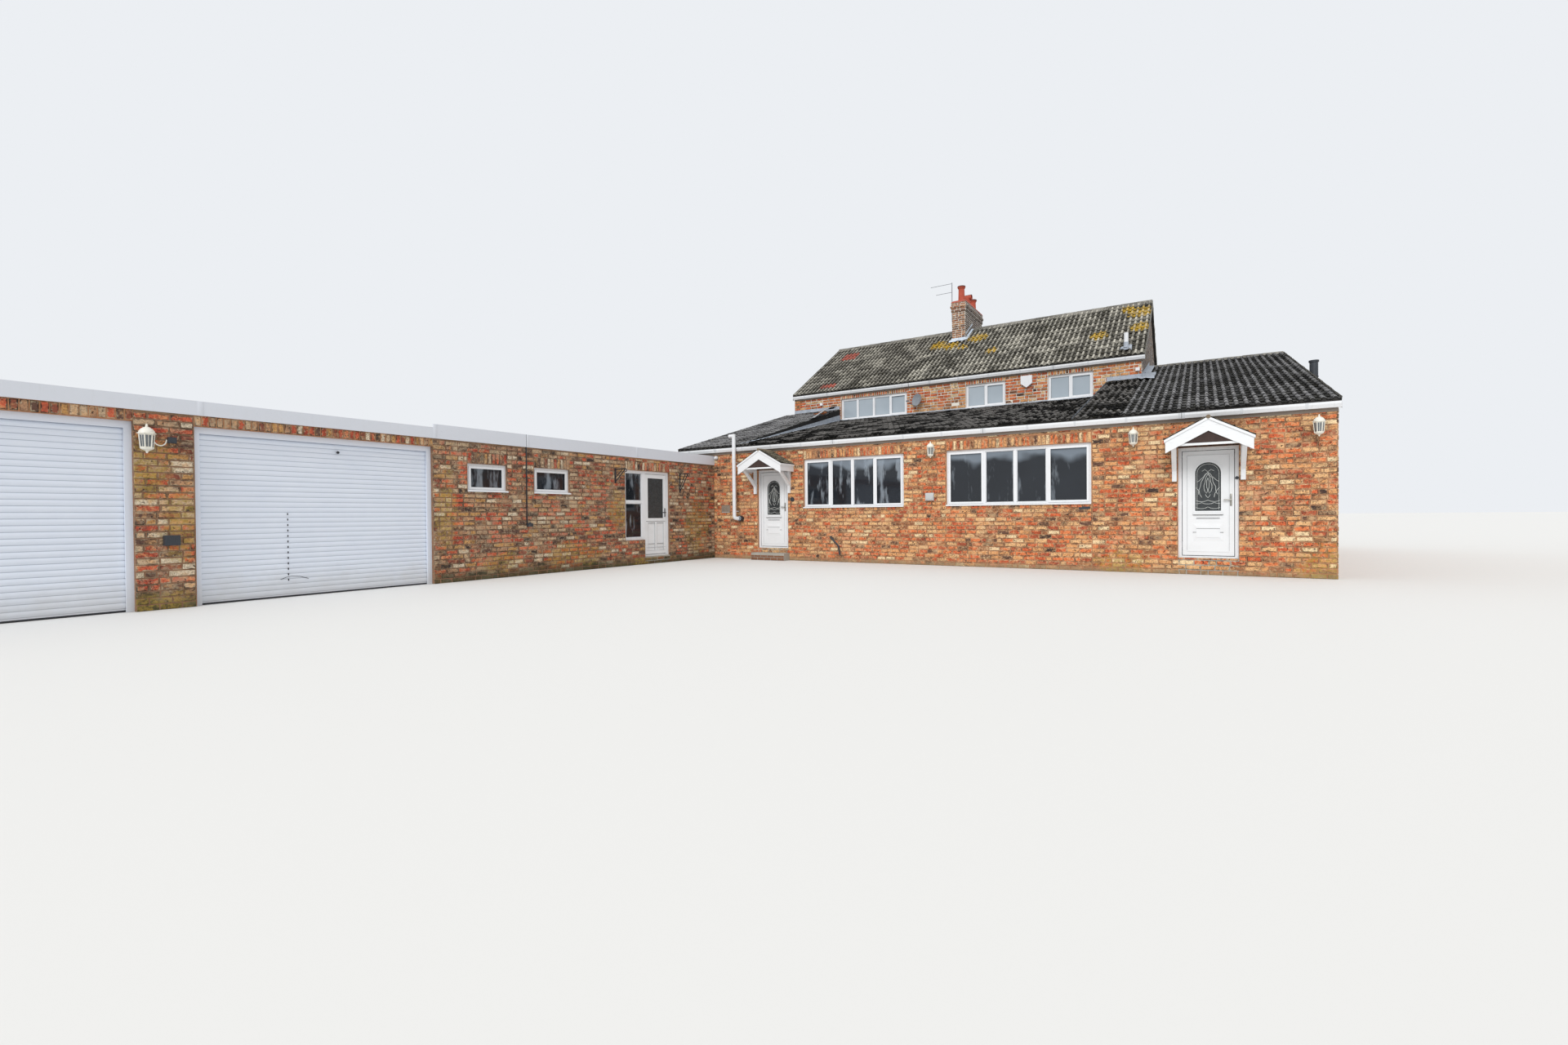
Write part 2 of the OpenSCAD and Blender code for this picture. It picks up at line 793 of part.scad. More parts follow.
module garage_window_wall() {
    color("indianred") place() difference() {
        union() {
            block([-wing_wall_t, -shutter_y, 0], [0, side_win_y0, wing_wall_z]);
            block([-wing_wall_t, side_win_y0 - eps, 0], [0, side_door_y0, side_win_sill_z]);
        }
        for (w = [[window_a_y, window_a_w], [window_b_y, window_b_w]])
            block([-wing_wall_t - eps, w[0], garage_sill_z],
                [eps, w[0] + w[1], garage_sill_z + garage_win_h]);
    }
}

module garage_piers() {
    color("indianred") place() {
        block([-wing_wall_t, -side_door_y, 0], [0, 0, wing_wall_z]);
        block([-wing_wall_t, pier_y0, 0], [0, shutter1_y0, wing_wall_z]);
        block([-wing_wall_t, -wing_len, 0], [0, shutter2_y0, wing_wall_z]);
    }
}

module garage_outer_walls() {
    color("indianred") place() {
        block([-wing_depth, -wing_len, 0], [-wing_depth + wing_wall_t, 0, wing_wall_z]);
        block([-wing_depth + wing_wall_t, -wing_len, 0],
            [-wing_wall_t, -wing_len + wing_wall_t, wing_wall_z]);
        block([-wing_depth + wing_wall_t, -wing_wall_t, 0], [house_x0 + wing_wall_t, 0, wing_wall_z]);
    }
}

module garage_floor() {
    color("lightgray") place()
        difference() {
            block([-wing_depth + wing_wall_t, -wing_len + wing_wall_t, 0], [-wing_wall_t, 0, garage_floor_z]);
            block([-wing_depth, -wing_wall_t, -eps], [house_x0 + wing_wall_t, eps, far]);
        }
}

module garage_roof() {
    color("slategray") place()
        block([-wing_depth, -wing_len, wing_wall_z], [0, 0, flat_top_z]);
}

module garage_fascia() {
    color("white") place() {
        block([0, -wing_len, wing_wall_z], [fascia_t, -fascia_step_y, wing_wall_z + fascia_h]);
        block([0, -fascia_step_y, wing_wall_z], [fascia_t, 0, wing_wall_z + fascia_h + fascia_step]);
        block([-wing_depth - fascia_t, -wing_len - fascia_t, wing_wall_z],
            [fascia_t, -wing_len, wing_wall_z + fascia_h]);
        block([-wing_depth - fascia_t, -wing_len, wing_wall_z],
            [-wing_depth, 0, wing_wall_z + fascia_h]);
    }
}

// Roller shutters, drawn across an opening that starts at X = 0
guide_w = 75;
guide_d = 50;
slat_t = 12;
slat_out = 9;
hood_h = 90;
foot_gap = 20;
slot_gap = 1;
curtain_bite = 30;

module curtain() {
    count = floor((shutter_h - hood_h) / slat_pitch);
    drop = shutter_h - hood_h;
    front = [for (i = [0:count - 1], a = [0, 12, 50, 90, 130, 168])
        [-slat_out * sin(a), drop - (i + 1) * slat_pitch + slat_pitch * (a / 180)]];
    low = drop - count * slat_pitch;
    ordered = [for (i = [count - 1:-1:0], j = [0:5]) front[i * 6 + j]];
    translate([guide_w - curtain_bite, shutter_recess + guide_d / 2, 0]) rotate([90, 0, 90])
        linear_extrude(shutter_w - 2 * (guide_w - curtain_bite))
            polygon(concat([[0, foot_gap], [0, low]], ordered,
                [[0, drop], [slat_t, drop], [slat_t, foot_gap]]));
}

module shutter_surround() {
    curtain_y = shutter_recess + guide_d / 2;
    difference() {
        block([0, shutter_recess - guide_d / 2, 0], [guide_w, shutter_recess + guide_d, shutter_h]);
        block([guide_w - curtain_bite - slot_gap, curtain_y - slat_out - 2 * slot_gap, -eps],
            [guide_w + eps, curtain_y + slat_t + slot_gap, shutter_h - hood_h]);
    }
}

module shutter_frame() {
    shutter_surround();
    translate([shutter_w, 0, 0]) mirror([1, 0, 0]) shutter_surround();
    block([guide_w, shutter_recess - guide_d / 2, shutter_h - hood_h],
        [shutter_w - guide_w, shutter_recess + guide_d, shutter_h]);
}

module shutter_curtains() {
    color("white") place()
        for (y = [shutter1_y0, shutter2_y0])
            on_yard_wall(y) curtain();
}

module shutter_frames() {
    color("white") place()
        for (y = [shutter1_y0, shutter2_y0])
            on_yard_wall(y) shutter_frame();
}

// Windows, drawn in a wall facing -Y with their lower left corner at X = 0, Z = 0.
// stops holds the edges between lights, and opens says which lights have an opening sash.
mullion_w = 56;
sash_w = 42;
sash_out = 14;
sash_lap = 12;
glass_t = 24;
glass_bite = 15;
glass_back = 25;
sill_out = 45;
sill_h = 35;
sill_nose = 22;

function equal_stops(w, n) = [for (i = [0:n]) w * i / n];
function shared_stops(w) = [0, w * outer_share, w / 2, w * (1 - outer_share), w];

module light_holes(w, h, stops) {
    for (i = [0:len(stops) - 2]) {
        a = stops[i] + (i == 0 ? frame_w : mullion_w / 2);
        b = stops[i + 1] - (i == len(stops) - 2 ? frame_w : mullion_w / 2);
        translate([a, 0, frame_w]) light_hole(b - a, h - 2 * frame_w);
    }
}

module light_hole(w, h) {
    block([0, -far / 10, 0], [w, far / 10, h]);
}

module window_frame(w, h, stops, opens, sill = true) {
    translate([0, reveal, 0]) {
        difference() {
            block([0, 0, 0], [w, frame_d, h]);
            light_holes(w, h, stops);
        }
        for (i = [0:len(stops) - 2])
            if (opens[i]) {
                a = stops[i] + (i == 0 ? frame_w : mullion_w / 2) - sash_lap;
                b = stops[i + 1] - (i == len(stops) - 2 ? frame_w : mullion_w / 2) + sash_lap;
                low = frame_w - sash_lap;
                high = h - frame_w + sash_lap;
                difference() {
                    block([a, -sash_out, low], [b, 0, high]);
                    block([a + sash_w, -sash_out - eps, low + sash_w], [b - sash_w, eps, high - sash_w]);
                }
            }
    }
    if (sill)
        along_x(0, w, [[-sill_out, 0], [reveal, 0], [reveal, sill_h], [0, sill_h], [-sill_out, sill_nose]]);
}

module window_pane(w, h) {
    edge = frame_w - glass_bite;
    block([edge, reveal + glass_back, edge], [w - edge, reveal + glass_back + glass_t, h - edge]);
}

// Each window as [kind, place, width, height, stops, opens]
module each_window() {
    for (w = [[kitchen_x, kitchen_w], [lounge_x, lounge_w]])
        translate([w[0], 0, front_sill_z]) {
            $w = w[1];
            $h = front_win_h;
            $stops = shared_stops(w[1]);
            $opens = [true, false, false, true];
            children();
        }
    for (w = upper_windows) {
        $w = w[1] * upper_light_w;
        $stops = equal_stops($w, w[1]);
        translate([w[0], main_y, upper_sill_z]) {
            $h = upper_win_h;
            $opens = [for (i = [1:w[1]]) i == w[1]];
            children();
        }
        on_back_wall(w[0] + $w) {
            $opens = [for (i = [1:w[1]]) i == 1];
            translate([0, 0, upper_sill_z]) {
                $h = upper_win_h;
                children();
            }
            translate([0, 0, lower_back_sill_z]) {
                $h = front_win_h;
                children();
            }
        }
    }
    on_back_wall(right_back_x + 2 * upper_light_w) translate([0, 0, front_sill_z]) {
        $w = 2 * upper_light_w;
        $h = front_win_h;
        $stops = equal_stops($w, 2);
        $opens = [true, false];
        children();
    }
    for (w = [[window_a_y, window_a_w], [window_b_y, window_b_w]])
        on_yard_wall(w[0]) translate([0, 0, garage_sill_z]) {
            $w = w[1];
            $h = garage_win_h;
            $stops = [0, w[1]];
            $opens = [true];
            children();
        }
}

side_transom_z = 922;

module window_frames() {
    color("white") place() all_frames();
}

module window_glass() {
    color("darkslategray") place() difference() {
        union() {
            each_window() window_pane($w, $h);
            on_yard_wall(side_win_y0) translate([0, 0, side_win_sill_z])
                window_pane(side_win_w, side_head_z - side_win_sill_z);
        }
        all_frames();
    }
}

module all_frames() {
    each_window() window_frame($w, $h, $stops, $opens);
    on_yard_wall(side_win_y0) translate([0, reveal, side_win_sill_z]) difference() {
        block([0, 0, 0], [side_win_w, frame_d, side_head_z - side_win_sill_z]);
        block([frame_w, -eps, frame_w], [side_win_w - frame_w, frame_d + eps, side_transom_z - frame_w / 2]);
        block([frame_w, -eps, side_transom_z + frame_w / 2],
            [side_win_w - frame_w, frame_d + eps, side_head_z - side_win_sill_z - frame_w]);
    }
}

// Doors, drawn in a wall facing -Y with the frame's lower left corner at X = 0, Z = 0.
// The leaf is hung on its left, seen from outside, and swings inwards.
threshold_h = 35;
leaf_lift = 12;
leaf_gap = 10;
hinge_zs = [250, 1035, 1820];
hinge_y = reveal + frame_d + 12;
hinge_x = frame_w - 2;
pin_r = hinge_r - 2;
knuckle_r = hinge_r + 3;
knuckle_h = 30;
knuckle_gap = 1;

function leaf_width(w) = w - 2 * frame_w - leaf_gap - latch_gap;

module door_surround(w, h) {
    translate([0, reveal, 0]) {
        difference() {
            block([0, 0, 0], [w, frame_d, h]);
            block([frame_w, -eps, threshold_h], [w - frame_w, frame_d + eps, h - frame_w]);
        }
    }
    for (z = hinge_zs) {
        translate([hinge_x, hinge_y, z - hinge_len / 2]) cylinder(r = pin_r, h = hinge_len);
        for (low = [z - hinge_len / 2, z + hinge_len / 2 - knuckle_h]) {
            translate([hinge_x, hinge_y, low]) cylinder(r = knuckle_r, h = knuckle_h);
            block([hinge_x - knuckle_h, reveal + frame_d, low],
                [hinge_x - pin_r + eps, hinge_y, low + knuckle_h]);
        }
    }
}

module arch_shape(w, h) {
    translate([-w / 2, 0]) square([w, h - w / 2]);
    translate([0, h - w / 2]) circle(d = w);
}

module on_leaf(x, z) {
    translate([x, 0, z]) rotate([90, 0, 0]) children();
}

glass_w = 405;
glass_h = 905;
glass_z = 880;

module leaf_knuckles() {
    low = knuckle_h + knuckle_gap - hinge_len / 2;
    high = hinge_len / 2 - knuckle_h - knuckle_gap;
    for (z = hinge_zs) {
        translate([hinge_x, hinge_y, z + low]) difference() {
            cylinder(r = knuckle_r, h = high - low);
            translate([0, 0, -eps]) cylinder(r = pin_r + hinge_gap, h = hinge_len);
        }
        difference() {
            block([hinge_x + hinge_r - 1, hinge_y - 6, z + low], [hinge_x + 42, hinge_y, z + high]);
            translate([hinge_x, hinge_y, 0]) cylinder(r = hinge_r + 2, h = far);
        }
        block([hinge_x + 30, reveal + frame_d, z + low], [hinge_x + 42, hinge_y, z + high]);
    }
}

lever_plate = [28, 220, 9];
lever_len = 110;
lever_h = 18;
lever_t = 12;
lever_out = 36;
lever_in = 50;

module lever(x, z, y) {
    translate([x, y, z]) rotate([90, 0, 0]) {
        translate([-lever_plate[0] / 2, -lever_plate[1] / 2, 0]) cube(lever_plate);
        cylinder(d = lever_h, h = lever_out + lever_h / 2);
        translate([-lever_len, -lever_h / 2, lever_out]) cube([lever_len + lever_h / 2, lever_h, lever_t]);
    }
}

module levers(w, handle_z) {
    x = w - frame_w - latch_gap - lever_in;
    out = reveal + frame_d - leaf_t;
    lever(x, handle_z, out);
    translate([0, 2 * out + leaf_t, 0]) mirror([0, 1, 0]) lever(x, handle_z, out);
}

// The raised panel, ledge and mouldings of a front door's leaf
glass_rim = 30;
rim_out = 14;
panel_size = [480, 332];
panel_field = [368, 196];
panel_z = 481;
panel_out = 9;
field_out = 14;
ledge_size = [470, 34];
ledge_z = 814;
ledge_out = 24;
border_in = 70;
border_w = 18;
border_out = 6;

// A panel with bevelled edges round a raised field, standing out towards -Y
module raised_panel() {
    w = panel_size / 2;
    f = panel_field / 2;
    intersection() {
        along_x(-w[0], w[0], [
            [eps, -w[1]], [0, -w[1]], [-panel_out, -f[1]], [-panel_out, f[1]], [0, w[1]], [eps, w[1]]
        ]);
        translate([0, 0, -w[1]]) linear_extrude(2 * w[1]) polygon([
            [-w[0], eps], [-w[0], 0], [-f[0], -panel_out], [f[0], -panel_out], [w[0], 0], [w[0], eps]
        ]);
    }
    block([-f[0], -field_out, -f[1]], [f[0], 0, f[1]]);
}

module leaf_mouldings(cx, lw, z0, z1) {
    on_leaf(cx, glass_z - glass_rim) linear_extrude(rim_out) difference() {
        arch_shape(glass_w + 2 * glass_rim, glass_h + 2 * glass_rim);
        translate([0, glass_rim]) arch_shape(glass_w, glass_h);
    }
    translate([cx, 0, panel_z]) raised_panel();
    on_leaf(cx, ledge_z) linear_extrude(ledge_out) translate([-ledge_size[0] / 2, 0]) square(ledge_size);
    on_leaf(cx, (z0 + z1) / 2) linear_extrude(border_out) difference() {
        square([lw - 2 * border_in, z1 - z0 - 2 * border_in], center = true);
        square([lw - 2 * border_in - 2 * border_w, z1 - z0 - 2 * border_in - 2 * border_w], center = true);
    }
}

module panel_leaf(w, h, handle_z) {
    lw = leaf_width(w);
    x0 = frame_w + leaf_gap;
    y0 = reveal + frame_d - leaf_t;
    z0 = threshold_h + leaf_lift;
    z1 = h - frame_w - leaf_gap;
    difference() {
        union() {
            block([x0, y0, z0], [x0 + lw, y0 + leaf_t, z1]);
            translate([0, y0, 0]) leaf_mouldings(x0 + lw / 2, lw, z0, z1);
        }
        translate([0, y0 + leaf_t + eps, 0]) on_leaf(x0 + lw / 2, glass_z)
            linear_extrude(leaf_t + 2 * rim_out)
                arch_shape(glass_w, glass_h);
    }
    levers(w, handle_z);
    leaf_knuckles();
}

leaf_rail = 95;
leaf_mid = 940;

module arched_pane(w) {
    translate([0, reveal + frame_d - leaf_t / 2 + glass_t / 2, 0])
        on_leaf(frame_w + leaf_gap + leaf_width(w) / 2, glass_z) linear_extrude(glass_t)
            arch_shape(glass_w, glass_h);
}

module square_pane(w, h) {
    x0 = frame_w + leaf_gap + leaf_rail;
    y0 = reveal + frame_d - leaf_t / 2 - glass_t / 2;
    block([x0, y0, leaf_mid],
        [x0 + leaf_width(w) - 2 * leaf_rail, y0 + glass_t, h - frame_w - leaf_gap - leaf_rail]);
}

low_panel_top = 830;
panel_gap = 60;
panel_deep = 14;

module glazed_leaf(w, h, handle_z) {
    lw = leaf_width(w);
    x0 = frame_w + leaf_gap;
    y0 = reveal + frame_d - leaf_t;
    z0 = threshold_h + leaf_lift;
    z1 = h - frame_w - leaf_gap;
    panel_w = (lw - 2 * leaf_rail - panel_gap) / 2;
    difference() {
        block([x0, y0, z0], [x0 + lw, y0 + leaf_t, z1]);
        block([x0 + leaf_rail, y0 - eps, leaf_mid], [x0 + lw - leaf_rail, y0 + leaf_t + eps, z1 - leaf_rail]);
        for (x = [x0 + leaf_rail, x0 + lw - leaf_rail - panel_w])
            block([x, y0 - eps, z0 + leaf_rail], [x + panel_w, y0 + panel_deep, low_panel_top]);
    }
    levers(w, handle_z);
    leaf_knuckles();
}

handle_z = 1080;

module door_frames() {
    color("white") place() {
        for (x = [door1_x0, door2_x0])
            translate([x, 0, floor_z]) door_surround(door_w, door_h);
        on_yard_wall(side_door_y0) translate([0, 0, side_sill_z]) door_surround(side_door_w, side_door_h);
    }
}

module left_door() {
    color("white") place() translate([door1_x0, 0, floor_z]) panel_leaf(door_w, door_h, handle_z);
}

module left_door_glass() {
    color("darkslategray") place() translate([door1_x0, 0, floor_z]) arched_pane(door_w);
}

module right_door() {
    color("white") place() translate([door2_x0, 0, floor_z]) panel_leaf(door_w, door_h, handle_z);
}

module right_door_glass() {
    color("darkslategray") place() translate([door2_x0, 0, floor_z]) arched_pane(door_w);
}

module side_door() {
    color("white") place() on_yard_wall(side_door_y0) translate([0, 0, side_sill_z])
        glazed_leaf(side_door_w, side_door_h, handle_z);
}

module side_door_glass() {
    color("darkslategray") place() on_yard_wall(side_door_y0) translate([0, 0, side_sill_z])
        square_pane(side_door_w, side_door_h);
}

// Canopies, drawn with their middle at X = 0
barge_t = 28;
cover_t = 45;
cover_lap = 20;
side_board_h = 150;
side_board_t = 22;
bracket_x = 535;
bracket_w = 75;
post_d = 60;
post_low_z = 1750;
arm_z = 2330;
arm_h = 75;
brace_foot_z = 1940;
brace_h = 85;
tie_z = 2365;
tie_h = 42;
tie_d = 40;
tie_half = 460;
infill_t = 15;
infill_half = 440;

function canopy_z(x) = canopy_eave_z + rise(canopy_w / 2 - abs(x), canopy_pitch);

module canopy_bracket() {
    a = bracket_x - bracket_w / 2;
    b = bracket_x + bracket_w / 2;
    along_y(-post_d, 0, [[a, post_low_z], [a, canopy_z(a)], [b, canopy_z(b)], [b, post_low_z]]);
    block([a, -canopy_out, arm_z], [b, -post_d, arm_z + arm_h]);
    along_x(a, b, [
        [-post_d, brace_foot_z],
        [-post_d, brace_foot_z + brace_h],
        [-canopy_out + 2 * brace_h, arm_z],
        [-canopy_out + brace_h, arm_z]
    ]);
}

module canopy() {
    half = canopy_w / 2;
    edge = half + cover_lap;
    apex = canopy_z(0);
    along_y(-canopy_out - barge_t - cover_lap, 0, [
        [-edge, canopy_z(edge)], [-edge, canopy_z(edge) + cover_t], [0, apex + cover_t],
        [edge, canopy_z(edge) + cover_t], [edge, canopy_z(edge)], [0, apex]
    ]);
    along_y(-canopy_out - barge_t, -canopy_out, [
        [-half, canopy_eave_z - barge_h], [-half, canopy_eave_z], [0, apex],
        [half, canopy_eave_z], [half, canopy_eave_z - barge_h], [0, apex - barge_h]
    ]);
    for (s = [0, 1])
        mirror([s, 0, 0]) {
            canopy_bracket();
            along_y(-canopy_out, 0, [
                [half - side_board_t, canopy_eave_z - side_board_h],
                [half - side_board_t, canopy_z(half - side_board_t)],
                [half, canopy_eave_z], [half, canopy_eave_z - side_board_h]
            ]);
        }
    block([-tie_half, -canopy_out, tie_z], [tie_half, -canopy_out + tie_d, tie_z + tie_h]);
    along_y(-canopy_out, -canopy_out + infill_t, [
        [-infill_half, tie_z + tie_h], [0, apex + infill_t], [infill_half, tie_z + tie_h]
    ]);
}

module door_canopies() {
    color("white") place()
        for (x = [door1_x, door2_x])
            translate([x, 0, 0]) canopy();
}

// Lanterns, drawn on a wall facing -Y with the level of their arms at Z = 0
lantern_out = 150;
cage_r = 82;
cage_low_r = 68;
cage_low = -130;
cage_high = 50;
cage_bar_r = 6;
cage_in = 7;
plate_r = 52;
plate_t = 12;
arm_r = 8;
tip_low = -200;
finial_top = 182;

// A round arm hanging in a half circle, from X = 0 to X = span
module swan_neck(span) {
    translate([span / 2, 0, 0]) rotate([90, 0, 0]) mirror([0, 1, 0]) rotate_extrude(angle = 180)
        translate([span / 2, 0]) circle(r = arm_r, $fn = 12);
}

module cage() {
    h = cage_high - cage_low;
    lean = atan2(cage_r - cage_low_r, h);
    translate([0, 0, cage_low]) cylinder(r1 = cage_low_r - cage_in, r2 = cage_r - cage_in, h = h, $fn = 6);
    for (i = [0:5])
        rotate([0, 0, 60 * i]) translate([cage_low_r - cage_bar_r, 0, cage_low]) rotate([0, lean, 0])
            cylinder(r = cage_bar_r, h = h);
    rotate_extrude() polygon([
        [0, tip_low], [10, tip_low + 8], [14, tip_low + 28], [24, tip_low + 34], [58, tip_low + 52],
        [cage_low_r, tip_low + 66], [cage_low_r, cage_low], [0, cage_low]
    ]);
    translate([0, 0, cage_high]) cylinder(r = cage_r + 12, h = 10, $fn = 6);
    rotate_extrude() polygon([
        [0, cage_high + 10], [cage_r, cage_high + 10], [cage_r * 0.93, cage_high + 35],
        [cage_r * 0.72, cage_high + 62], [cage_r * 0.4, cage_high + 82], [14, cage_high + 90],
        [14, cage_high + 104], [9, cage_high + 112], [12, cage_high + 122], [0, finial_top]
    ]);
}

module lantern() {
    rotate([90, 0, 0]) cylinder(r = plate_r, h = plate_t);
    translate([0, -plate_t, 0]) rotate([0, 0, -90]) swan_neck(lantern_out - cage_low_r * cos(30) - plate_t);
    translate([0, -lantern_out, 0]) cage();
}

lantern_xs = [lounge_x - 313, door2_x - 1214, range_len - 273];
lantern_z = 2640;
// The lantern on the pier, and the sensor box at its arm's other end
pier_lantern_u = 100;
pier_lantern_z = 2230;
pier_lantern_out = 110;
sensor_u = [319, 406];
sensor_z = [2188, 2265];
sensor_out = 60;

module wall_lanterns() {
    color("ivory") place() {
        for (x = lantern_xs)
            translate([x, 0, lantern_z]) lantern();
        on_yard_wall(pier_y0) translate([pier_lantern_u, -pier_lantern_out, pier_lantern_z]) {
            cage();
            u = cage_low_r * cos(30);
            run = [sensor_u[0] - pier_lantern_u - u - arm_r - seat_gap, pier_lantern_out - sensor_out / 2];
            translate([u, 0, 0]) rotate([0, 0, atan2(run[1], run[0])]) swan_neck(norm(run));
        }
    }
}

flue_y = 3950;
flue_top_z = 4440;
flue_low_z = 2300;
flue_cap_h = 40;

module black_flue() {
    color("black") place() {
        translate([flue_x, flue_y, flue_low_z - flue_r])
            cylinder(r = flue_r, h = flue_top_z - flue_low_z + flue_r);
        translate([range_len, flue_y, flue_low_z]) rotate([0, 90, 0])
            cylinder(r = flue_r, h = flue_x - range_len);
        translate([flue_x, flue_y, flue_top_z])
            cylinder(r = flue_r + flue_cap_out, h = flue_cap_h);
    }
}

// Dish on the main front wall, and the aerial's mast beside the stack
dish_x = 3822;
dish_z = 4850;
dish_out = 200;
dish_arm_r = 22;
dish_r = 205;
dish_t = 10;
dish_curve_r = 520;
dish_tilt = 80;
dish_turn = -25;
mast_r = 14;
mast_low = -600;
mast_top = 800;
mast_y = 200;
boom_r = 8;
// Heights of the clamps, and the booms as [height, length], from the stack's top
clamp_zs = [-550, -420];
booms = [[770, 790], [460, 590]];

module dish() {
    rotate([90, 0, 0]) cylinder(r = dish_arm_r, h = dish_out);
    translate([0, -dish_out, 0]) rotate([dish_tilt, 0, dish_turn]) rotate_extrude() intersection() {
        translate([0, -dish_r]) square([dish_r, 2 * dish_r]);
        translate([0, dish_curve_r - dish_t]) difference() {
            circle(r = dish_curve_r, $fn = 180);
            circle(r = dish_curve_r - dish_t, $fn = 180);
        }
    }
}

module aerial() {
    translate([0, 0, mast_low]) cylinder(r = mast_r, h = mast_top - mast_low);
    for (z = clamp_zs)
        translate([0, 0, z]) rotate([0, 90, 0]) cylinder(r = boom_r, h = 2 * band_out + mast_r);
    for (b = booms)
        translate([0, 0, b[0]]) rotate([0, -90, 0]) cylinder(r = boom_r, h = b[1]);
}

module dish_and_aerial() {
    color("silver") place() {
        translate([dish_x, main_y, dish_z]) dish();
        translate([stack_x - 2 * band_out - mast_r, stack_y + mast_y, stack_z]) aerial();
    }
}

// White fittings. Each plain box is [left, width, bottom, height, depth].
alarm_box = [7002, 324, 4905, 352, 90];
alarm_point = 120;
upper_lights = [[163, 100, 5040, 90, 90], [10023, 100, 5040, 90, 90]];
meter_box = [6184, 193, 1482, 173, 60];
louvre = [267, 281, 1256, 207, 12];
white_flue_x = 840;
white_flue_r = 50;
white_flue_low_z = 1180;
white_flue_top_z = 3380;
white_flue_y = -board_t - gutter_w - white_flue_r - 15;
white_flue_bend_z = 3330;
white_flue_bend = 150;
clip_zs = [1280, 2600];
clip_half = 12;

module wall_box(b, y = 0) {
    block([b[0], y - b[4], b[2]], [b[0] + b[1], y, b[2] + b[3]]);
}

module wall_fittings() {
    color("white") place() {
        along_y(main_y - alarm_box[4], main_y, [
            [alarm_box[0], alarm_box[2] + alarm_point],
            [alarm_box[0] + alarm_box[1] / 2, alarm_box[2]],
            [alarm_box[0] + alarm_box[1], alarm_box[2] + alarm_point],
            [alarm_box[0] + alarm_box[1], alarm_box[2] + alarm_box[3]],
            [alarm_box[0], alarm_box[2] + alarm_box[3]]
        ]);
        for (b = upper_lights)
            wall_box(b, main_y);
        wall_box(meter_box);
        wall_box(louvre);
        translate([white_flue_x, white_flue_y, white_flue_low_z])
            cylinder(r = white_flue_r, h = white_flue_top_z - white_flue_low_z);
        translate([white_flue_x, white_flue_y, white_flue_bend_z]) rotate([0, -90, 0])
            cylinder(r = white_flue_r, h = white_flue_bend);
        for (z = clip_zs)
            block([white_flue_x - clip_half, white_flue_y, z],
                [white_flue_x + clip_half, 0, z + 2 * clip_half]);
        difference() {
            translate([vent_x, vent_y, main_eave_z]) cylinder(r = vent_r, h = vent_top_z - main_eave_z);
            translate([vent_x, vent_y, vent_top_z - vent_r]) cylinder(r = vent_r - 6, h = far);
            under_main_top();
        }
    }
}

// Dark fittings. The boxes on the yard wall are placed from the corner of the pier or of the yard.
air_brick = [9419, 212, 1245, 55, 8];
terminal_x = 950;
terminal_z = 1095;
terminal_r = 75;
terminal_out = 120;
bell_x = 2580;
bell_z = 1584;
bell_r = 55;
bell_t = 30;
frame_bell_z = 1478;
frame_bell_r = 28;
frame_bell_t = 14;
pier_box = [262, 162, 839, 134, 70];
cable_y = -6086;
cable_w = 9;
cable_low_z = 1050;
hook_box = [-6090, 110, 990, 62, 70];
waste_r = 21;
collar = 4;
waste_y = -45;
waste_top = [3712, 620];
waste_knee = [3935, 390];
waste_low = [3965, 180];

// A length of round pipe in the plane y = waste_y, between two places given as [x, z]
module waste_run(a, b) {
    step = b - a;
    translate([a[0], waste_y, a[1]]) {
        rotate([0, 90 - atan2(step[1], step[0]), 0]) cylinder(r = waste_r, h = norm(step));
        sphere(r = waste_r + collar);
    }
}

module dark_fittings() {
    color("black") place() {
        wall_box(air_brick);
        translate([terminal_x, 0, terminal_z]) rotate([90, 0, 0]) cylinder(r = terminal_r, h = terminal_out);
        translate([bell_x, 0, bell_z]) rotate([90, 0, 0]) cylinder(r = bell_r, h = bell_t);
        translate([door2_x1 - frame_w / 2, reveal, floor_z + frame_bell_z]) rotate([90, 0, 0])
            cylinder(r = frame_bell_r, h = frame_bell_t);
        on_yard_wall(pier_y0) {
            wall_box(pier_box);
            block([sensor_u[0], -sensor_out, sensor_z[0]], [sensor_u[1], 0, sensor_z[1]]);
        }
        on_yard_wall(0) {
            wall_box(hook_box);
            block([cable_y, -cable_w, cable_low_z], [cable_y + cable_w, 0, wing_wall_z]);
        }
        translate([waste_top[0], 0, waste_top[1]]) rotate([90, 0, 0]) cylinder(r = waste_r, h = -waste_y);
        waste_run(waste_top, waste_knee);
        waste_run(waste_knee, waste_low);
    }
}

front_wall_ends();
front_wall_middle();
opening_heads();
door_sills();
range_side_walls();
range_back_wall();
ground_floor();
inner_wall_piers();
main_front_wall();
main_back_wall();
main_left_gable();
main_right_gable();
upper_floor();
main_roof_front();
main_roof_back();
roof_left();
roof_middle();
roof_right();
roof_right_back();
ridge_tiles();
chimney_stack();
chimney_pots();
gutters();
eave_boards();
lead_flashings();
garage_window_wall();
garage_piers();
garage_outer_walls();
garage_floor();
garage_roof();
garage_fascia();
shutter_curtains();
shutter_frames();
window_frames();
window_glass();
door_frames();
left_door();
left_door_glass();
right_door();
right_door_glass();
side_door();
side_door_glass();
door_canopies();
wall_lanterns();
black_flue();
dish_and_aerial();
wall_fittings();
dark_fittings();
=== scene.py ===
"""The looks of the brick farmhouse: brickwork, tiles, joinery, fittings and the plain studio round it.

Lengths are in metres, and colours are as the eye reads them, 0 to 255. Places in the tables are given
from the inner corner of the yard, where the garage wing meets the front range, and yard() turns them
into the model's own frame.
"""

